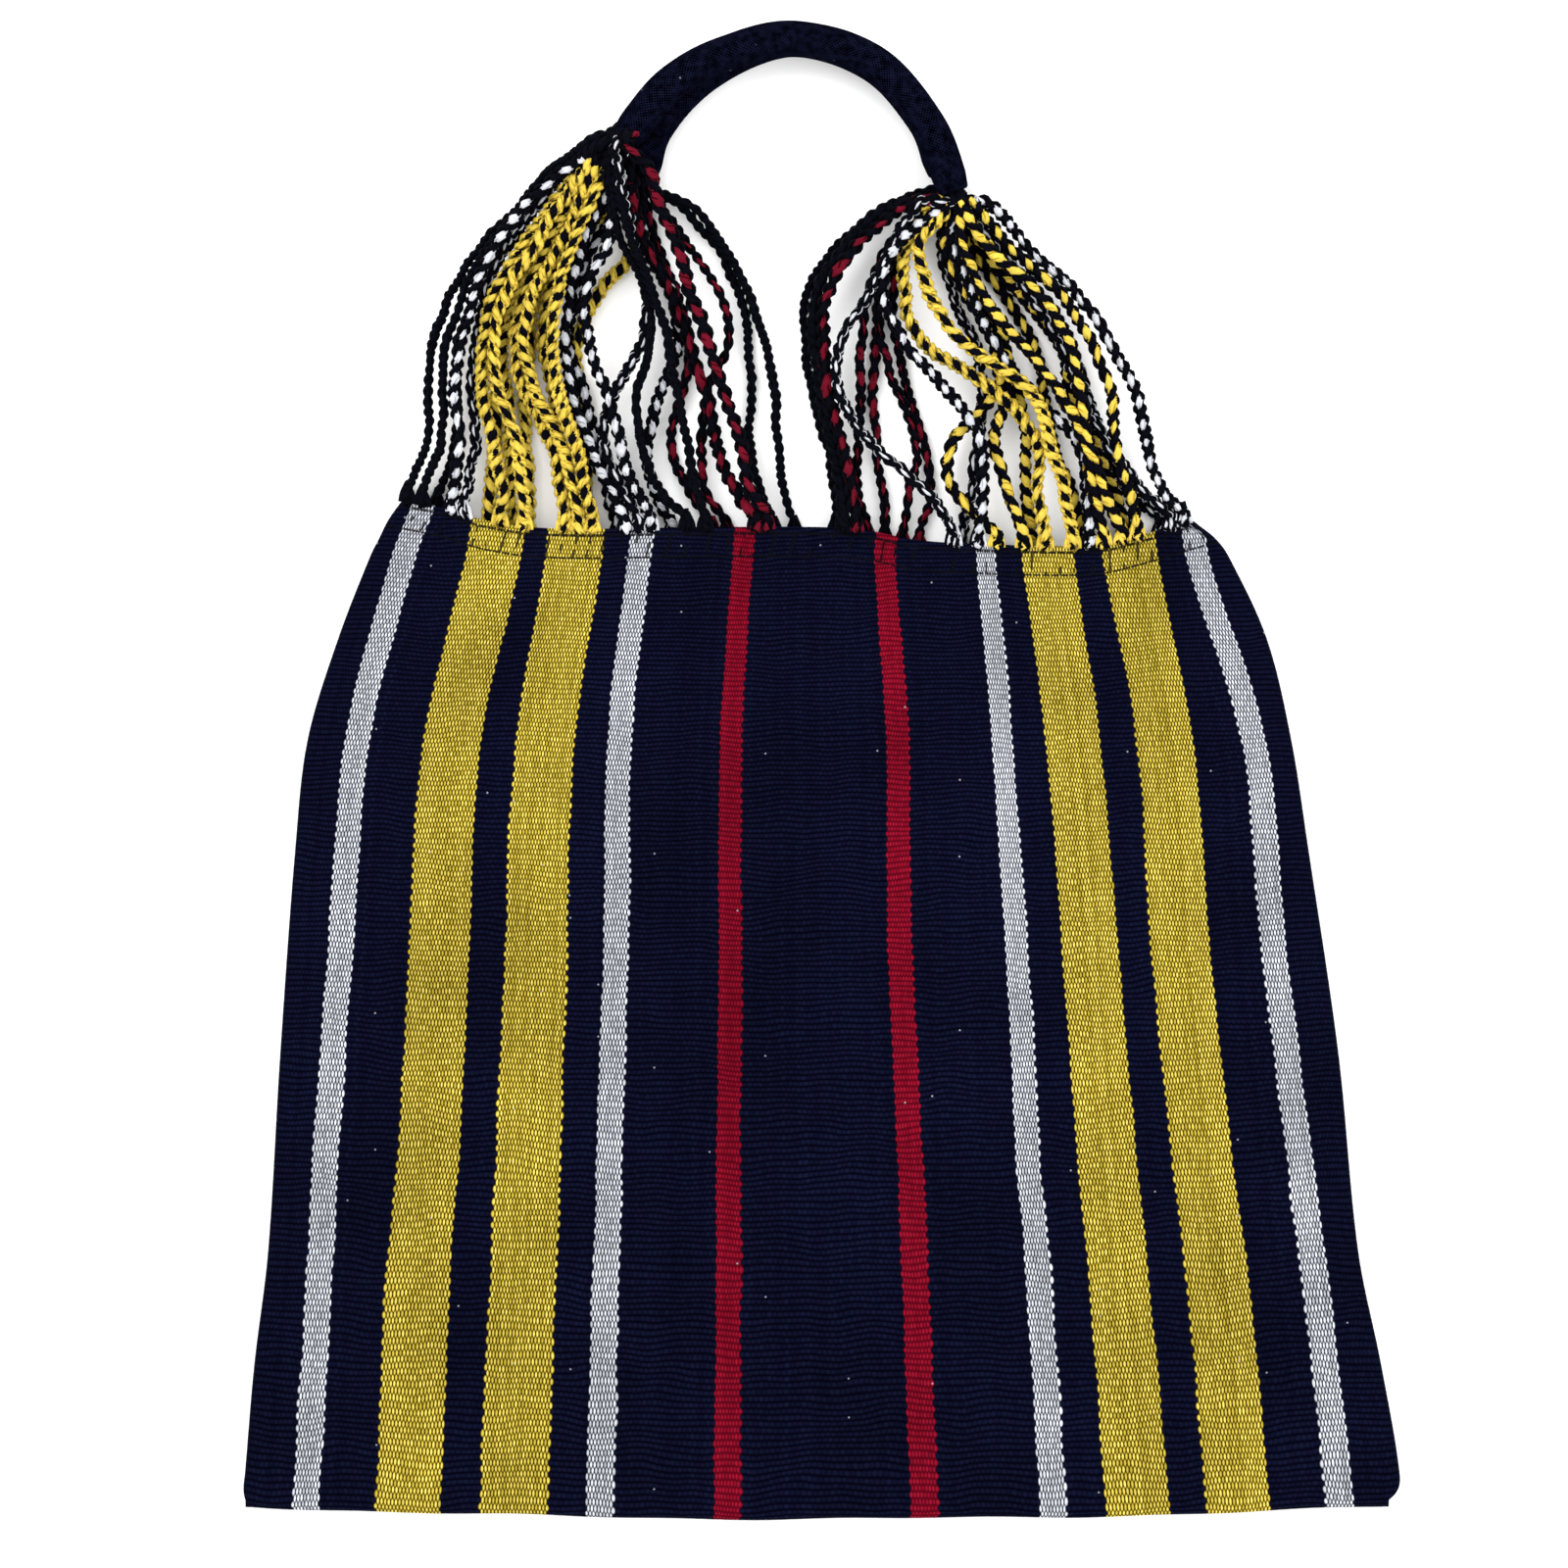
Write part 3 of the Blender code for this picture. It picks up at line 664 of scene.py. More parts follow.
def mouth_of(bundle):
    """The middle of the handle's mouth, the way out of it, and the way across it."""
    line = handle_line(bundle.handle)[::-1 if bundle.right else 1]
    out = unit(line[0] - line[3])
    return line[0], out, np.cross(out, UP)


def lip_at(x, bundle):
    """y of the lip of a bundle's panel at x, and how high the middle of the cloth lies there in front."""
    if bundle.handle is FRONT:
        y = float(lip_y(x))
        return y, 2 * SEAM_RADIUS + float(front_rise(x, y)) - CLOTH_HALF
    return float(lip_y(x, BACK_LIP_SETBACK)), None


def cord_line(cord, bundle, rank):
    """A cord's centre line from inside the handle's mouth down to the lip."""
    middle, out, across = mouth_of(bundle)
    front = bundle.handle is FRONT
    layers = max(other.layer for other in bundle.cords)
    aside = MOUTH_FILL * rank
    stacked = (cord.layer + cord.lift / 3 - layers / 2) / (layers / 2 + 1)
    rise = MOUTH_FILL * stacked * math.sqrt(max(0.0, 1 - aside ** 2))
    radius = MOUTH_RADIUS - MAKES[cord.make].radius * MOUTH_SQUEEZE
    start = middle + radius * (aside * across + rise * UP)
    points = [start - out * CORD_START]
    if not cord.over:
        points.append(start + out * CORD_OUT)
    points += [np.array(place, float) for place in cord.over]
    lip, cloth_z = lip_at(cord.root, bundle)
    for level, x in zip(LEVELS[-len(cord.xs):], cord.xs):
        if level.y < lip + SKIP_NEAR_LIP:
            continue
        z, step = level.front if front else level.back
        z += step * cord.layer
        z += cord.lift * float(smoothstep((level.y - LIFT_FROM_Y) / LIFT_OVER))
        points.append((x, level.y, z))
    if front:
        root_z = cloth_z + FOOT_ON_CLOTH
        foot = (cord.root, lip - LIP_OVERLAP, root_z + FOOT_RISE)
    else:
        root_z = MAKES[cord.make].radius + FLOOR_GAP
        foot = (cord.root, lip + BACK_FOOT_GAP, root_z)
    points += [(cord.root, lip + LIP_GAP + STEM_LENGTH, root_z + STEM_RISE), foot]
    return smooth_path(points, PATH_STEPS)


def add_cord(tubes, cord, line, wound, rng):
    """Adds a cord's threads, all of them navy as far as navy yarn is wound over the bundle."""
    make = MAKES[cord.make]
    line, along = even_steps(line, make.turn / RINGS_PER_TURN)
    length = along[-1]
    free = smoothstep(along / STILL_AT_HANDLE) * smoothstep((length - along) / STILL_AT_LIP)
    line = line + CORD_SWAY * free[:, None] * wander(rng, along, SWAY_LENGTH / 2, 3) * (1, 1, CORD_SWAY_UP)
    tangent = unit(np.gradient(line, axis=0))
    aside = unit(np.cross(tangent, UP))
    lift = np.cross(aside, tangent)
    hand = 1 if cord.hand == "S" else -1
    pace = np.full(len(along), along[1]) * (1 + TURN_SWAY * wander(rng, along, SWAY_LENGTH))
    turns = np.cumsum(pace / make.turn)
    squeeze = 1 if cord.over else smoothstep(along / SQUEEZE_LENGTH)
    radius = make.radius * (MOUTH_SQUEEZE + (1 - MOUTH_SQUEEZE) * squeeze)
    radius = radius * (1 + SIZE_SWAY * wander(rng, along, SWAY_LENGTH))
    if cord.over and cord.make == "navy":
        radius = radius * (1 + HEAD_SWELL * (1 - smoothstep(along / HEAD_LENGTH)))
    foot = smoothstep(1 - (length - along) / ROOT_EASE)
    sideways = aside * (1 + (ROOT_WIDE - 1) * foot)[:, None]
    flat = 1 + (ROOT_FLAT - 1) * foot
    upward = lift * flat[:, None]

    def towards(angle):
        return np.cos(angle)[:, None] * sideways + np.sin(angle)[:, None] * upward

    lean = LEAN * (rng.uniform(-1, 1) + wander(rng, along, SWAY_LENGTH))
    offset = rng.uniform(0, 1)
    for number, threads in enumerate(make.plies):
        angle = 2 * np.pi * (hand * turns + number / len(make.plies) + offset)
        ply = make.ply * towards(angle)
        for place, thread in enumerate(threads):
            # A thread runs back round its ply as fast as the ply runs round the cord, so it comes up at each
            # of the ply's crests as an oval that lies along the cord
            back = math.pi - angle + 2 * math.pi * place / len(threads) + lean
            out = make.thread + make.half * (1 - thread.size) / 2
            place_out = ply + out * towards(back)
            swell = 1 + THREAD_SWELL * wander(rng, along, SWELL_LENGTH)
            swell = swell + THREAD_SWAY * wander(rng, along, make.turn)
            fade = 1 - thread.fade * smoothstep(0.5 + wander(rng, along, FADE_LENGTH))
            thick = radius * make.half * thread.size * swell * fade
            middle = line + place_out * radius[:, None]
            outward = place_out + NEVER_ZERO * lift
            rings = tube_rings(middle, outward, thick * flat, thick * make.wide, THREAD_SIDES)
            dark = 0.0 if cord.over else CORD_START + wound + WOUND_SWAY * rng.uniform(-1, 1)
            tubes.add(rings, along, np.where(along < dark, YARNS.index("navy"), YARNS.index(thread.yarn)))


def add_fan(tubes, cord, bundle, rng):
    """Adds the warp ends that run from the lip into a cord's foot."""
    front = bundle.handle is FRONT
    coloured = [thread.yarn for ply in MAKES[cord.make].plies for thread in ply if thread.yarn != "navy"]
    for number in range(FAN_THREADS):
        share = 2 * (number + 0.5) / FAN_THREADS - 1
        foot_x = cord.root + FAN_HALF * share
        foot_y, cloth_z = lip_at(foot_x, bundle)
        z = cloth_z if front else MAKES[cord.make].radius * FAN_BACK_RISE
        height = FAN_HEIGHT * rng.uniform(*FAN_HEIGHTS)
        top = np.array((cord.root + FAN_TOP_HALF * share, foot_y + height, z + STEM_RISE))
        foot = np.array((foot_x, foot_y - FAN_START, z + (FOOT_ON_CLOTH if front else 0)))
        bend = (foot + top) / 2 + np.multiply(FAN_BEND, (share, 1, 1))
        line, along = even_steps(smooth_path([foot, bend, top], FAN_STEPS), FAN_HEIGHT / FAN_STEPS)
        size = FAN_RADIUS * rng.uniform(*FAN_SIZES)
        yarn = coloured[0] if "yellow" in coloured or coloured and number % 2 else "navy"
        tubes.add(tube_rings(line, UP, size, size * FAN_FLATTENING, THREAD_SIDES), along, YARNS.index(yarn))


def build_bundle(bundle, materials, seed):
    rng = np.random.default_rng(seed)
    tubes = Tubes()
    _, out, across = mouth_of(bundle)
    targets = []
    for cord in bundle.cords:
        targets.append(np.dot((cord.xs[0], LEVELS[-len(cord.xs)].y, 0), across))
    order = np.argsort(np.argsort(targets))
    for cord, place in zip(bundle.cords, order):
        rank = 2 * (place + 0.5) / len(order) - 1
        add_cord(tubes, cord, cord_line(cord, bundle, rank), bundle.wound, rng)
        add_fan(tubes, cord, bundle, rng)
    return tubes.build(bundle.node.replace("cords", "twisted_cords"), materials)


# Handles


def turned_rim(edge, middle, inward):
    """Rings that carry the cover round a handle's end and into its mouth."""
    around = unit(edge - middle)
    radius = np.linalg.norm(edge[0] - middle)
    end = middle - inward * RIM_RADIUS
    rings = []
    for step in range(1, RIM_STEPS + 1):
        angle = math.pi * step / RIM_STEPS
        reach = radius - RIM_RADIUS * (1 - math.cos(angle))
        rings.append(end + inward * RIM_RADIUS * (1 - math.sin(angle)) + around * reach)
    rings.append(end + inward * MOUTH_DEPTH + around * (radius - 2 * RIM_RADIUS))
    return rings


def build_handle(handle, radius, material, seed):
    """A covered tube whose cover turns in at both ends round an open mouth."""
    rng = np.random.default_rng(seed)
    line, along = even_steps(handle_line(handle), HANDLE_STEP)
    line = line + HANDLE_SWAY * wander(rng, along, HANDLE_SWAY_LENGTH, 3) * (1, 1, HANDLE_SWAY_UP)
    radii = radius * (1 + HANDLE_SWELL * wander(rng, along, HANDLE_SWELL_LENGTH))
    from_end = np.minimum(along, along[-1] - along)
    radii *= 1 - END_TAPER * (1 - smoothstep(from_end / END_LENGTH))
    inward = unit(line[1] - line[0]), unit(line[-2] - line[-1])
    line[0] += inward[0] * RIM_RADIUS
    line[-1] += inward[1] * RIM_RADIUS
    rings = tube_rings(line, UP, radii, radii, HANDLE_SIDES)
    first = turned_rim(rings[0], line[0], inward[0])
    last = turned_rim(rings[-1], line[-1], inward[1])
    rings = np.concatenate([np.array(first[::-1]), rings, np.array(last)])
    steps = np.linalg.norm(np.diff(rings[:, 0], axis=0), axis=1)
    tubes = Tubes()
    tubes.add(rings, np.concatenate([[0.0], np.cumsum(steps)]), 0)
    return tubes.build("covered_handle_" + handle.side, [material])


# Materials


def add_node(tree, kind, sockets, out=0, **settings):
    """Adds a shader node, fills or links its sockets, and returns one of its outputs, if it has any."""
    node = tree.nodes.new("ShaderNode" + kind)
    for name, value in settings.items():
        setattr(node, name, value)
    for key, value in sockets.items():
        if isinstance(value, bpy.types.NodeSocket):
            tree.links.new(value, node.inputs[key])
        else:
            node.inputs[key].default_value = value
    return node.outputs[out] if node.outputs else None


def calc(tree, operation, *values):
    """Adds a node that works out a number."""
    return add_node(tree, "Math", dict(enumerate(values)), operation=operation)


def times(tree, product, *values):
    """Adds nodes that multiply two or more numbers."""
    for value in values:
        product = calc(tree, "MULTIPLY", product, value)
    return product


def calc_vector(tree, operation, *values):
    """Adds a node that works out a vector or a colour."""
    return add_node(tree, "VectorMath", dict(enumerate(values)), operation=operation)


def spread(tree, value, *limits, smooth=False):
    """Adds a node that spreads a value between two limits over 0 to 1, or over two further limits."""
    way = "SMOOTHSTEP" if smooth else "LINEAR"
    return add_node(tree, "MapRange", dict(enumerate((value, *limits))), interpolation_type=way)


def blend(tree, share, first, second):
    """Adds a node that blends two colours."""
    return add_node(tree, "Mix", {0: share, 6: first, 7: second}, out=2, data_type="RGBA")


def noise(tree, here, scale, detail, roughness=0.5, out=0):
    """Adds soft noise with so many patches to a metre."""
    sockets = {"Vector": here, "Scale": scale, "Detail": detail, "Roughness": roughness}
    return add_node(tree, "TexNoise", sockets, out=out)


def new_material(name):
    """A material without nodes, and the tree to add them to."""
    material = bpy.data.materials.new(name)
    material.use_nodes = True
    tree = material.node_tree
    tree.nodes.clear()
    return material, tree


def add_lint(tree, colour, here, lint, **settings):
    """Pale lint on the colour: a speck in the middle of a few cells."""
    cells = add_node(tree, "TexVoronoi", {"Vector": here, "Scale": lint.scale}, **settings).node
    keep = add_node(tree, "SeparateColor", {0: cells.outputs["Color"]})
    keep = calc(tree, "GREATER_THAN", keep, lint.bare)
    speck = calc(tree, "LESS_THAN", cells.outputs["Distance"], lint.reach)
    return blend(tree, times(tree, speck, keep, lint.cover), colour, linear(lint.shade))


def finish_cotton(tree, colour, height, finish):
    """Ends a cotton material with a rough surface, a faint sheen of fibres and a bump."""
    relief = {"Height": height, "Strength": finish.strength, "Distance": finish.depth * MM}
    bump = add_node(tree, "Bump", relief)
    shader = add_node(tree, "BsdfPrincipled", {
        "Base Color": colour, "Normal": bump, "Roughness": finish.roughness,
        "Specular IOR Level": finish.specular, "Sheen Weight": SHEEN, "Sheen Roughness": finish.sheen,
        "Sheen Tint": linear(finish.tint),
    })
    add_node(tree, "OutputMaterial", {"Surface": shader})


def stripe_ramp(tree, place, colours):
    """A ramp with hard steps from stripe to stripe; its alpha is how far a yarn shows its single grains."""
    ramp = add_node(tree, "ValToRGB", {"Fac": place}).node
    elements = ramp.color_ramp.elements
    ramp.color_ramp.interpolation = "CONSTANT"
    yarns = ["navy"]
    for stripe in STRIPES:
        yarns += [stripe.yarn, "navy"]
    while len(elements) < len(yarns):
        elements.new(1.0)
    for element, yarn, edge in zip(elements, yarns, WARP_EDGES):
        element.position = max(0.0, edge - RAMP_MARGIN) / RAMP_STEPS
    for element, yarn in zip(elements, yarns):
        element.color = colours[yarn]
    return ramp


def nearest_grain(tree, end, weft, rows):
    """How far away the nearest grain of two rows is, where its middle lies, and its row.

    The grains of a row lie half an end aside of the next row's and reach in between them, as bricks do.
    """
    grains = []
    for row in rows:
        half = times(tree, calc(tree, "FLOORED_MODULO", row, 2.0), 0.5)
        number = calc(tree, "FLOOR", calc(tree, "ADD", end, half))
        middle = calc(tree, "ADD", calc(tree, "SUBTRACT", number, half), 0.5)
        across = calc(tree, "DIVIDE", calc(tree, "SUBTRACT", end, middle), GRAIN_HALF_WIDTH)
        across = calc(tree, "POWER", across, 2.0)
        along = calc(tree, "SUBTRACT", calc(tree, "SUBTRACT", weft, row), 0.5)
        along = calc(tree, "DIVIDE", along, GRAIN_HALF_LENGTH)
        away = calc(tree, "MULTIPLY_ADD", along, along, across)
        grains.append((away, middle, row))
    other = calc(tree, "LESS_THAN", grains[1][0], grains[0][0])
    return [add_node(tree, "Mix", {0: other, 2: own, 3: beside}) for own, beside in zip(*grains)]


def heading_thread(tree, end, below, here):
    """Where the heading's dark thread lies: two rows, and here and there a slanting stitch between them."""
    thread = calc(tree, "MAXIMUM", *[calc(tree, "COMPARE", below, *row) for row in HEADING_ROWS])
    stitch = calc(tree, "FLOORED_MODULO", end, STITCH_ENDS)
    thread = times(tree, thread, calc(tree, "GREATER_THAN", stitch, STITCH_DIP))
    slant = calc(tree, "FLOORED_MODULO", calc(tree, "MULTIPLY_ADD", below, SLANT_LEAN, end), SLANT_ENDS)
    slant = calc(tree, "COMPARE", slant, *SLANT_PLACE)
    slant = times(tree, slant, calc(tree, "COMPARE", below, *SLANT_REACH))
    # The slanting stitches show in patches 4 mm wide
    shown = calc(tree, "GREATER_THAN", noise(tree, here, 260.0, 0.0), 0.47)
    thread = calc(tree, "MAXIMUM", thread, times(tree, slant, shown))
    return times(tree, thread, THREAD_COVER)


def cloth_material(settings):
    """Hand-woven warp-faced cotton rep: ribs from the thick weft and a grain where a warp end crosses it."""
    material, tree = new_material("warp_faced_cotton_rep")
    weave = add_node(tree, "Attribute", {}, out=1, attribute_name="weave")
    here = add_node(tree, "TexCoord", {}, out=3)
    # A hand's beat is never quite even: the ribs and ends stray by about half a thread every 20 mm or so
    stray = noise(tree, here, 48.0, 1.0, out=1)
    stray = calc_vector(tree, "SUBTRACT", stray, (0.5, 0.5, 0.5))
    stray = calc_vector(tree, "MULTIPLY", stray, STRAY)
    weave = calc_vector(tree, "ADD", weave, stray)
    end, weft, below = add_node(tree, "SeparateXYZ", {0: weave}).node.outputs
    own_row = calc(tree, "FLOOR", weft)
    aside = calc(tree, "SUBTRACT", calc(tree, "SUBTRACT", weft, own_row), 0.5)
    next_row = calc(tree, "ADD", own_row, calc(tree, "SIGN", aside))
    rib = spread(tree, times(tree, aside, aside), 0.18, 0.0, smooth=True)
    away, middle, row = nearest_grain(tree, end, weft, (own_row, next_row))
    place = calc(tree, "DIVIDE", calc(tree, "ADD", middle, RAMP_MARGIN), RAMP_STEPS)
    grain = spread(tree, away, 0.72, 0.05, smooth=True)

    tops = {yarn: (*getattr(settings, yarn)[:3], share) for yarn, share in GRAININESS.items()}
    tops = stripe_ramp(tree, place, tops)
    # Painted light and shade: a grain's or rib's crown takes the yarn's own colour, and the gap round it a
    # darker painted shade of it
    gaps = stripe_ramp(tree, place, {yarn: linear(shade) for yarn, shade in PAINTED_GAP_SHADES.items()})
    height = add_node(tree, "Mix", {0: tops.outputs[1], 2: rib, 3: grain})
    # No two grains and no two warp ends were spun and dyed alike
    key = add_node(tree, "CombineXYZ", {0: middle, 1: row})
    spun = add_node(tree, "TexWhiteNoise", {"Vector": key}, noise_dimensions="2D")
    spun_end = add_node(tree, "TexWhiteNoise", {"W": middle}, noise_dimensions="1D")
    uneven = spread(tree, calc(tree, "ADD", spun, spun_end), 0.2, 1.8, 0.55, 1.0)
    lit = times(tree, height, uneven)
    colour = blend(tree, lit, gaps.outputs[0], tops.outputs[0])
    # A painted highlight, added to the colour of the white and yellow yarns on their crowns
    painted_highlight = spread(tree, tops.outputs[1], HIGHLIGHT_FROM, 1.0, 0.0, CROWN_HIGHLIGHT)
    painted_highlight = times(tree, painted_highlight, calc(tree, "POWER", lit, 3.0))
    colour = calc_vector(tree, "ADD", colour, painted_highlight)

    thread = heading_thread(tree, end, below, here)
    colour = blend(tree, thread, colour, linear(THREAD_SHADE))
    colour = add_lint(tree, colour, here, CLOTH_LINT, voronoi_dimensions="2D")
    # The cloth is painted paler and darker in soft patches 40 mm wide: painted light and shade of its soft
    # folds, and a little uneven colour
    fold_shade_and_unevenness = spread(tree, noise(tree, here, 25.0, 3.0), 0.3, 0.7, 0.8, 1.16)
    colour = calc_vector(tree, "MULTIPLY", colour, fold_shade_and_unevenness)
    finish_cotton(tree, colour, height, CLOTH_FINISH)
    return material


def yarn_lay(tree):
    """How far round its tube, in turns, and how far along it, in metres, a point lies."""
    lay = add_node(tree, "UVMap", {}, uv_map="yarn_lay")
    return add_node(tree, "SeparateXYZ", {0: lay}).node.outputs[:2]


def yarn_material(yarn, colour):
    """Soft-spun cotton yarn: matt and slightly hairy, with fine lines of painted shade where its strands lie
    together.
    """
    material, tree = new_material("soft_spun_cotton_" + yarn)
    around, along = yarn_lay(tree)
    strands = times(tree, around, STRANDS)
    travel = times(tree, along, STRANDS / (STRAND_TURN * MM))
    wave = calc(tree, "PINGPONG", calc(tree, "ADD", strands, travel), 1.0)
    groove = spread(tree, wave, 0.0, 0.2, smooth=True)
    # Fluff: tufts of 1.1 mm, drawn coarser than single hairs so that they show, and paler patches of 7 mm
    here = add_node(tree, "TexCoord", {}, out=3)
    fibre = noise(tree, here, 900.0, 3.0, 0.7)
    fluff = spread(tree, fibre, 0.25, 0.75, 0.75, 1.1)
    patch = spread(tree, noise(tree, here, 150.0, 1.0), 0.3, 0.7, 0.85, 1.05)
    # Painted shade: the grooves between the strands are darker
    painted_groove_shade = spread(tree, groove, 0.0, 1.0, 0.78, 1.0)
    # Painted shade: a thread is painted darkest in the crease that it shares with the next one, a quarter of a
    # turn from its crest
    painted_crease_shade = spread(tree, calc(tree, "PINGPONG", around, 0.5), 0.14, 0.3, 1.0, 0.2, smooth=True)
    shade = times(tree, fluff, patch, painted_groove_shade, painted_crease_shade)
    # The grooves are painted in a deeper, darker copy of the yarn's colour, a painted shade
    painted_groove_colour = (*[channel ** GROOVE_SHADE_POWER for channel in colour[:3]], 1.0)
    body = blend(tree, groove, painted_groove_colour, (*colour[:3], 1.0))
    body = calc_vector(tree, "MULTIPLY", body, shade)
    finish_cotton(tree, body, calc(tree, "ADD", groove, fibre), YARN_FINISH)
    return material


def cover_material(colour):
    """Plain-woven navy cotton, sewn tight over padding: matt, with a fine even grain and a little lint."""
    material, tree = new_material("plain_woven_navy_cotton")
    around, along = yarn_lay(tree)
    around = times(tree, around, COVER_THREADS * math.pi)
    along = times(tree, along, math.pi / (COVER_PITCH * MM))
    grain = times(tree, calc(tree, "SINE", around), calc(tree, "SINE", along))
    # Slubs of 2.4 mm break the grain up
    here = add_node(tree, "TexCoord", {}, out=3)
    slub = noise(tree, here, 420.0, 4.0, 0.65)
    height = calc(tree, "MULTIPLY_ADD", grain, 0.25, slub)
    shade = spread(tree, height, 0.37, 0.68, 0.0, 2.5)
    body = calc_vector(tree, "MULTIPLY", tuple(colour[:3]), shade)
    body = add_lint(tree, body, here, COVER_LINT)
    finish_cotton(tree, body, height, COVER_FINISH)
    return material


def floor_material(colour):
    """Matt white paper under the bag."""
    material, tree = new_material("matt_white_paper")
    sockets = {"Base Color": colour, "Roughness": 0.9, "Specular IOR Level": 0.1}
    add_node(tree, "OutputMaterial", {"Surface": add_node(tree, "BsdfPrincipled", sockets)})
    return material


# Add-on


def colour_property(name, description, hex_colour):
    return bpy.props.FloatVectorProperty(
        name=name, description=description, default=linear(hex_colour), size=4, min=0, max=1, subtype="COLOR")


def length_property(name, description, default, low, high):
    return bpy.props.FloatProperty(
        name=name, description=description, default=default, min=low, max=high, unit="LENGTH",
        subtype="DISTANCE")


class HammockClothSettings(bpy.types.PropertyGroup):
    thickness: length_property("Thickness", "Thickness of the cloth", 1.3 * MM, 0.5 * MM, 1.6 * MM)
    navy: colour_property("Navy", "Ground of the cloth, where a rib catches the light", "0B0E22")
    white: colour_property("White", "Narrow white stripes", "C1C4CB")
    yellow: colour_property("Yellow", "Broad yellow stripes", "C3AE2E")
    red: colour_property("Red", "Narrow red stripes", "7A0D21")


class HammockCordSettings(bpy.types.PropertyGroup):
    navy: colour_property("Navy", "Navy yarn", "05050D")
    white: colour_property("White", "White yarn", "BFC1C7")
    yellow: colour_property("Yellow", "Yellow yarn", "CBB146")
    red: colour_property("Red", "Red yarn", "5C0D1D")


class HammockHandleSettings(bpy.types.PropertyGroup):
    radius: length_property("Radius", "Radius of a covered handle", HANDLE_RADIUS * MM, 4 * MM, 7 * MM)
    cover: colour_property("Cover", "Cloth cover of the handles", "050611")


class HammockStageSettings(bpy.types.PropertyGroup):
    camera_height: length_property("Camera height", "Height of the camera above the floor", 1.9, 0.5, 5)
    field: length_property("Field", "Width that the camera sees at the bag", 0.512, 0.1, 2)
    key_power: bpy.props.FloatProperty(
        name="Key light", description="Power of the large light", default=16.5, min=0, max=200, unit="POWER")
    fill: bpy.props.FloatProperty(
        name="Fill", description="Strength of the light from all sides", default=1.65, min=0, max=3,
        subtype="FACTOR")
    floor: colour_property("Floor", "Colour of the floor", "FAFAFA")


class HAMMOCK_OT_weave_cloth(bpy.types.Operator):
    """Weave the striped cloth pocket"""
    bl_idname = "hammock.weave_cloth"
    bl_label = "Woven Pocket"
    bl_options = {"REGISTER", "UNDO"}

    def execute(self, context):
        settings = context.scene.hammock_cloth
        cloth = build_cloth(settings.thickness)
        cloth.data.materials.append(cloth_material(settings))
        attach(cloth, "root")
        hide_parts("bag_cloth")
        return {"FINISHED"}


class HAMMOCK_OT_twist_cords(bpy.types.Operator):
    """Twist the warp ends into the four bundles of cords"""
    bl_idname = "hammock.twist_cords"
    bl_label = "Twisted Cords"
    bl_options = {"REGISTER", "UNDO"}

    def execute(self, context):
        settings = context.scene.hammock_cords
        materials = [yarn_material(yarn, getattr(settings, yarn)) for yarn in YARNS]
        for seed, bundle in enumerate(BUNDLES):
            piece = build_bundle(bundle, materials, seed)
            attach(piece, "root")
            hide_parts(bundle.node)
        return {"FINISHED"}


class HAMMOCK_OT_cover_handles(bpy.types.Operator):
    """Cover the two round handles"""
    bl_idname = "hammock.cover_handles"
    bl_label = "Covered Handles"
    bl_options = {"REGISTER", "UNDO"}

    def execute(self, context):
        settings = context.scene.hammock_handles
        cover = cover_material(settings.cover)
        for seed, handle in enumerate((FRONT, BACK)):
            side = handle.side
            piece = build_handle(handle, settings.radius / MM, cover, seed)
            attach(piece, "root")
            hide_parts("handle_" + side)
        return {"FINISHED"}


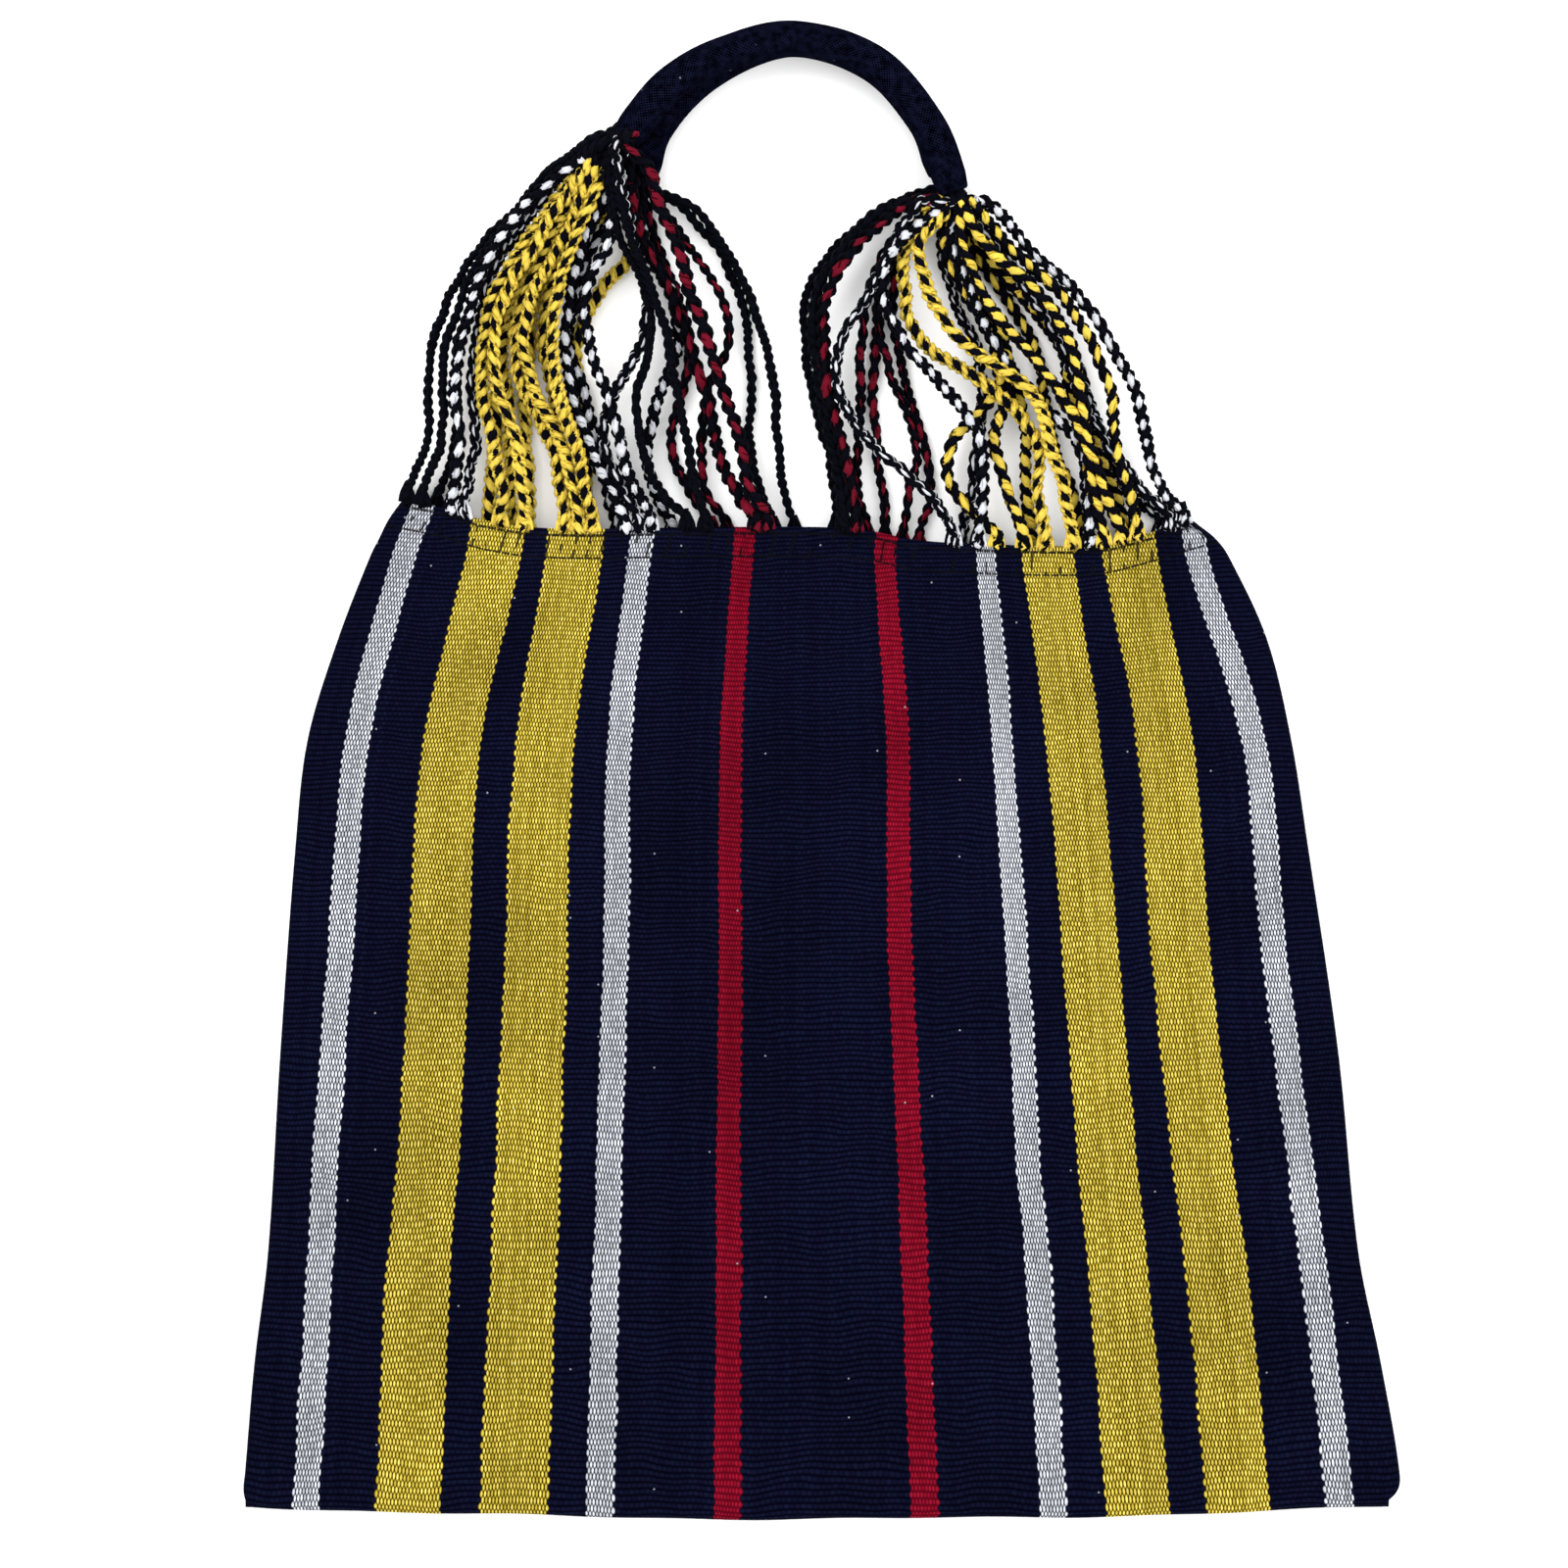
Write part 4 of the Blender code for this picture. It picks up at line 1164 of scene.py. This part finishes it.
class HAMMOCK_OT_set_stage(bpy.types.Operator):
    """Set up the floor, the lights and the camera"""
    bl_idname = "hammock.set_stage"
    bl_label = "Stage"
    bl_options = {"REGISTER", "UNDO"}

    def execute(self, context):
        settings = context.scene.hammock_stage
        scene = context.scene
        mesh = bmesh.new()
        bmesh.ops.create_grid(mesh, x_segments=8, y_segments=8, size=2.0)
        data = bpy.data.meshes.new("floor")
        mesh.to_mesh(data)
        mesh.free()
        data.materials.append(floor_material(settings.floor))
        floor = add_object("floor", data)
        floor.location = (0, 0, -FLOOR_DROP * MM)

        for name, place, size, share in LIGHTS:
            light = bpy.data.lights.new(name, "AREA")
            light.shape = "DISK"
            light.size = size
            light.energy = settings.key_power * share
            lamp = add_object(name, light)
            lamp.location = place
            lamp.rotation_euler = Vector(place).to_track_quat("Z", "Y").to_euler()

        world = bpy.data.worlds.new("studio")
        world.use_nodes = True
        background = world.node_tree.nodes["Background"]
        background.inputs["Color"].default_value = (1, 1, 1, 1)
        background.inputs["Strength"].default_value = settings.fill
        scene.world = world
        scene.view_settings.view_transform = "Standard"

        camera = bpy.data.cameras.new("camera")
        camera.lens = camera.sensor_width * (settings.camera_height - FIELD_HEIGHT * MM) / settings.field
        eye = add_object("camera", camera)
        eye.location = (CAMERA_X * MM, CAMERA_Y * MM, settings.camera_height)
        scene.camera = eye
        return {"FINISHED"}


class HAMMOCK_PT_panel(bpy.types.Panel):
    """The bag's pieces and their settings"""
    bl_idname = "HAMMOCK_PT_panel"
    bl_label = "Hammock Bag"
    bl_space_type = "VIEW_3D"
    bl_region_type = "UI"
    bl_category = "Hammock Bag"

    def draw(self, context):
        for operator, group in STEPS:
            box = self.layout.box()
            box.operator(operator.bl_idname)
            settings = getattr(context.scene, group)
            for name in settings.__annotations__:
                box.prop(settings, name)


SETTINGS = {
    "hammock_cloth": HammockClothSettings,
    "hammock_cords": HammockCordSettings,
    "hammock_handles": HammockHandleSettings,
    "hammock_stage": HammockStageSettings,
}
STEPS = (
    (HAMMOCK_OT_weave_cloth, "hammock_cloth"),
    (HAMMOCK_OT_twist_cords, "hammock_cords"),
    (HAMMOCK_OT_cover_handles, "hammock_handles"),
    (HAMMOCK_OT_set_stage, "hammock_stage"),
)
CLASSES = (*SETTINGS.values(), *(operator for operator, _ in STEPS), HAMMOCK_PT_panel)


def register():
    for item in CLASSES:
        bpy.utils.register_class(item)
    for name, group in SETTINGS.items():
        setattr(bpy.types.Scene, name, bpy.props.PointerProperty(type=group))


def unregister():
    for name in SETTINGS:
        delattr(bpy.types.Scene, name)
    for item in reversed(CLASSES):
        bpy.utils.unregister_class(item)


def main():
    register()
    bpy.ops.hammock.weave_cloth()
    bpy.ops.hammock.twist_cords()
    bpy.ops.hammock.cover_handles()
    bpy.ops.hammock.set_stage()


if __name__ == "__main__":
    main()
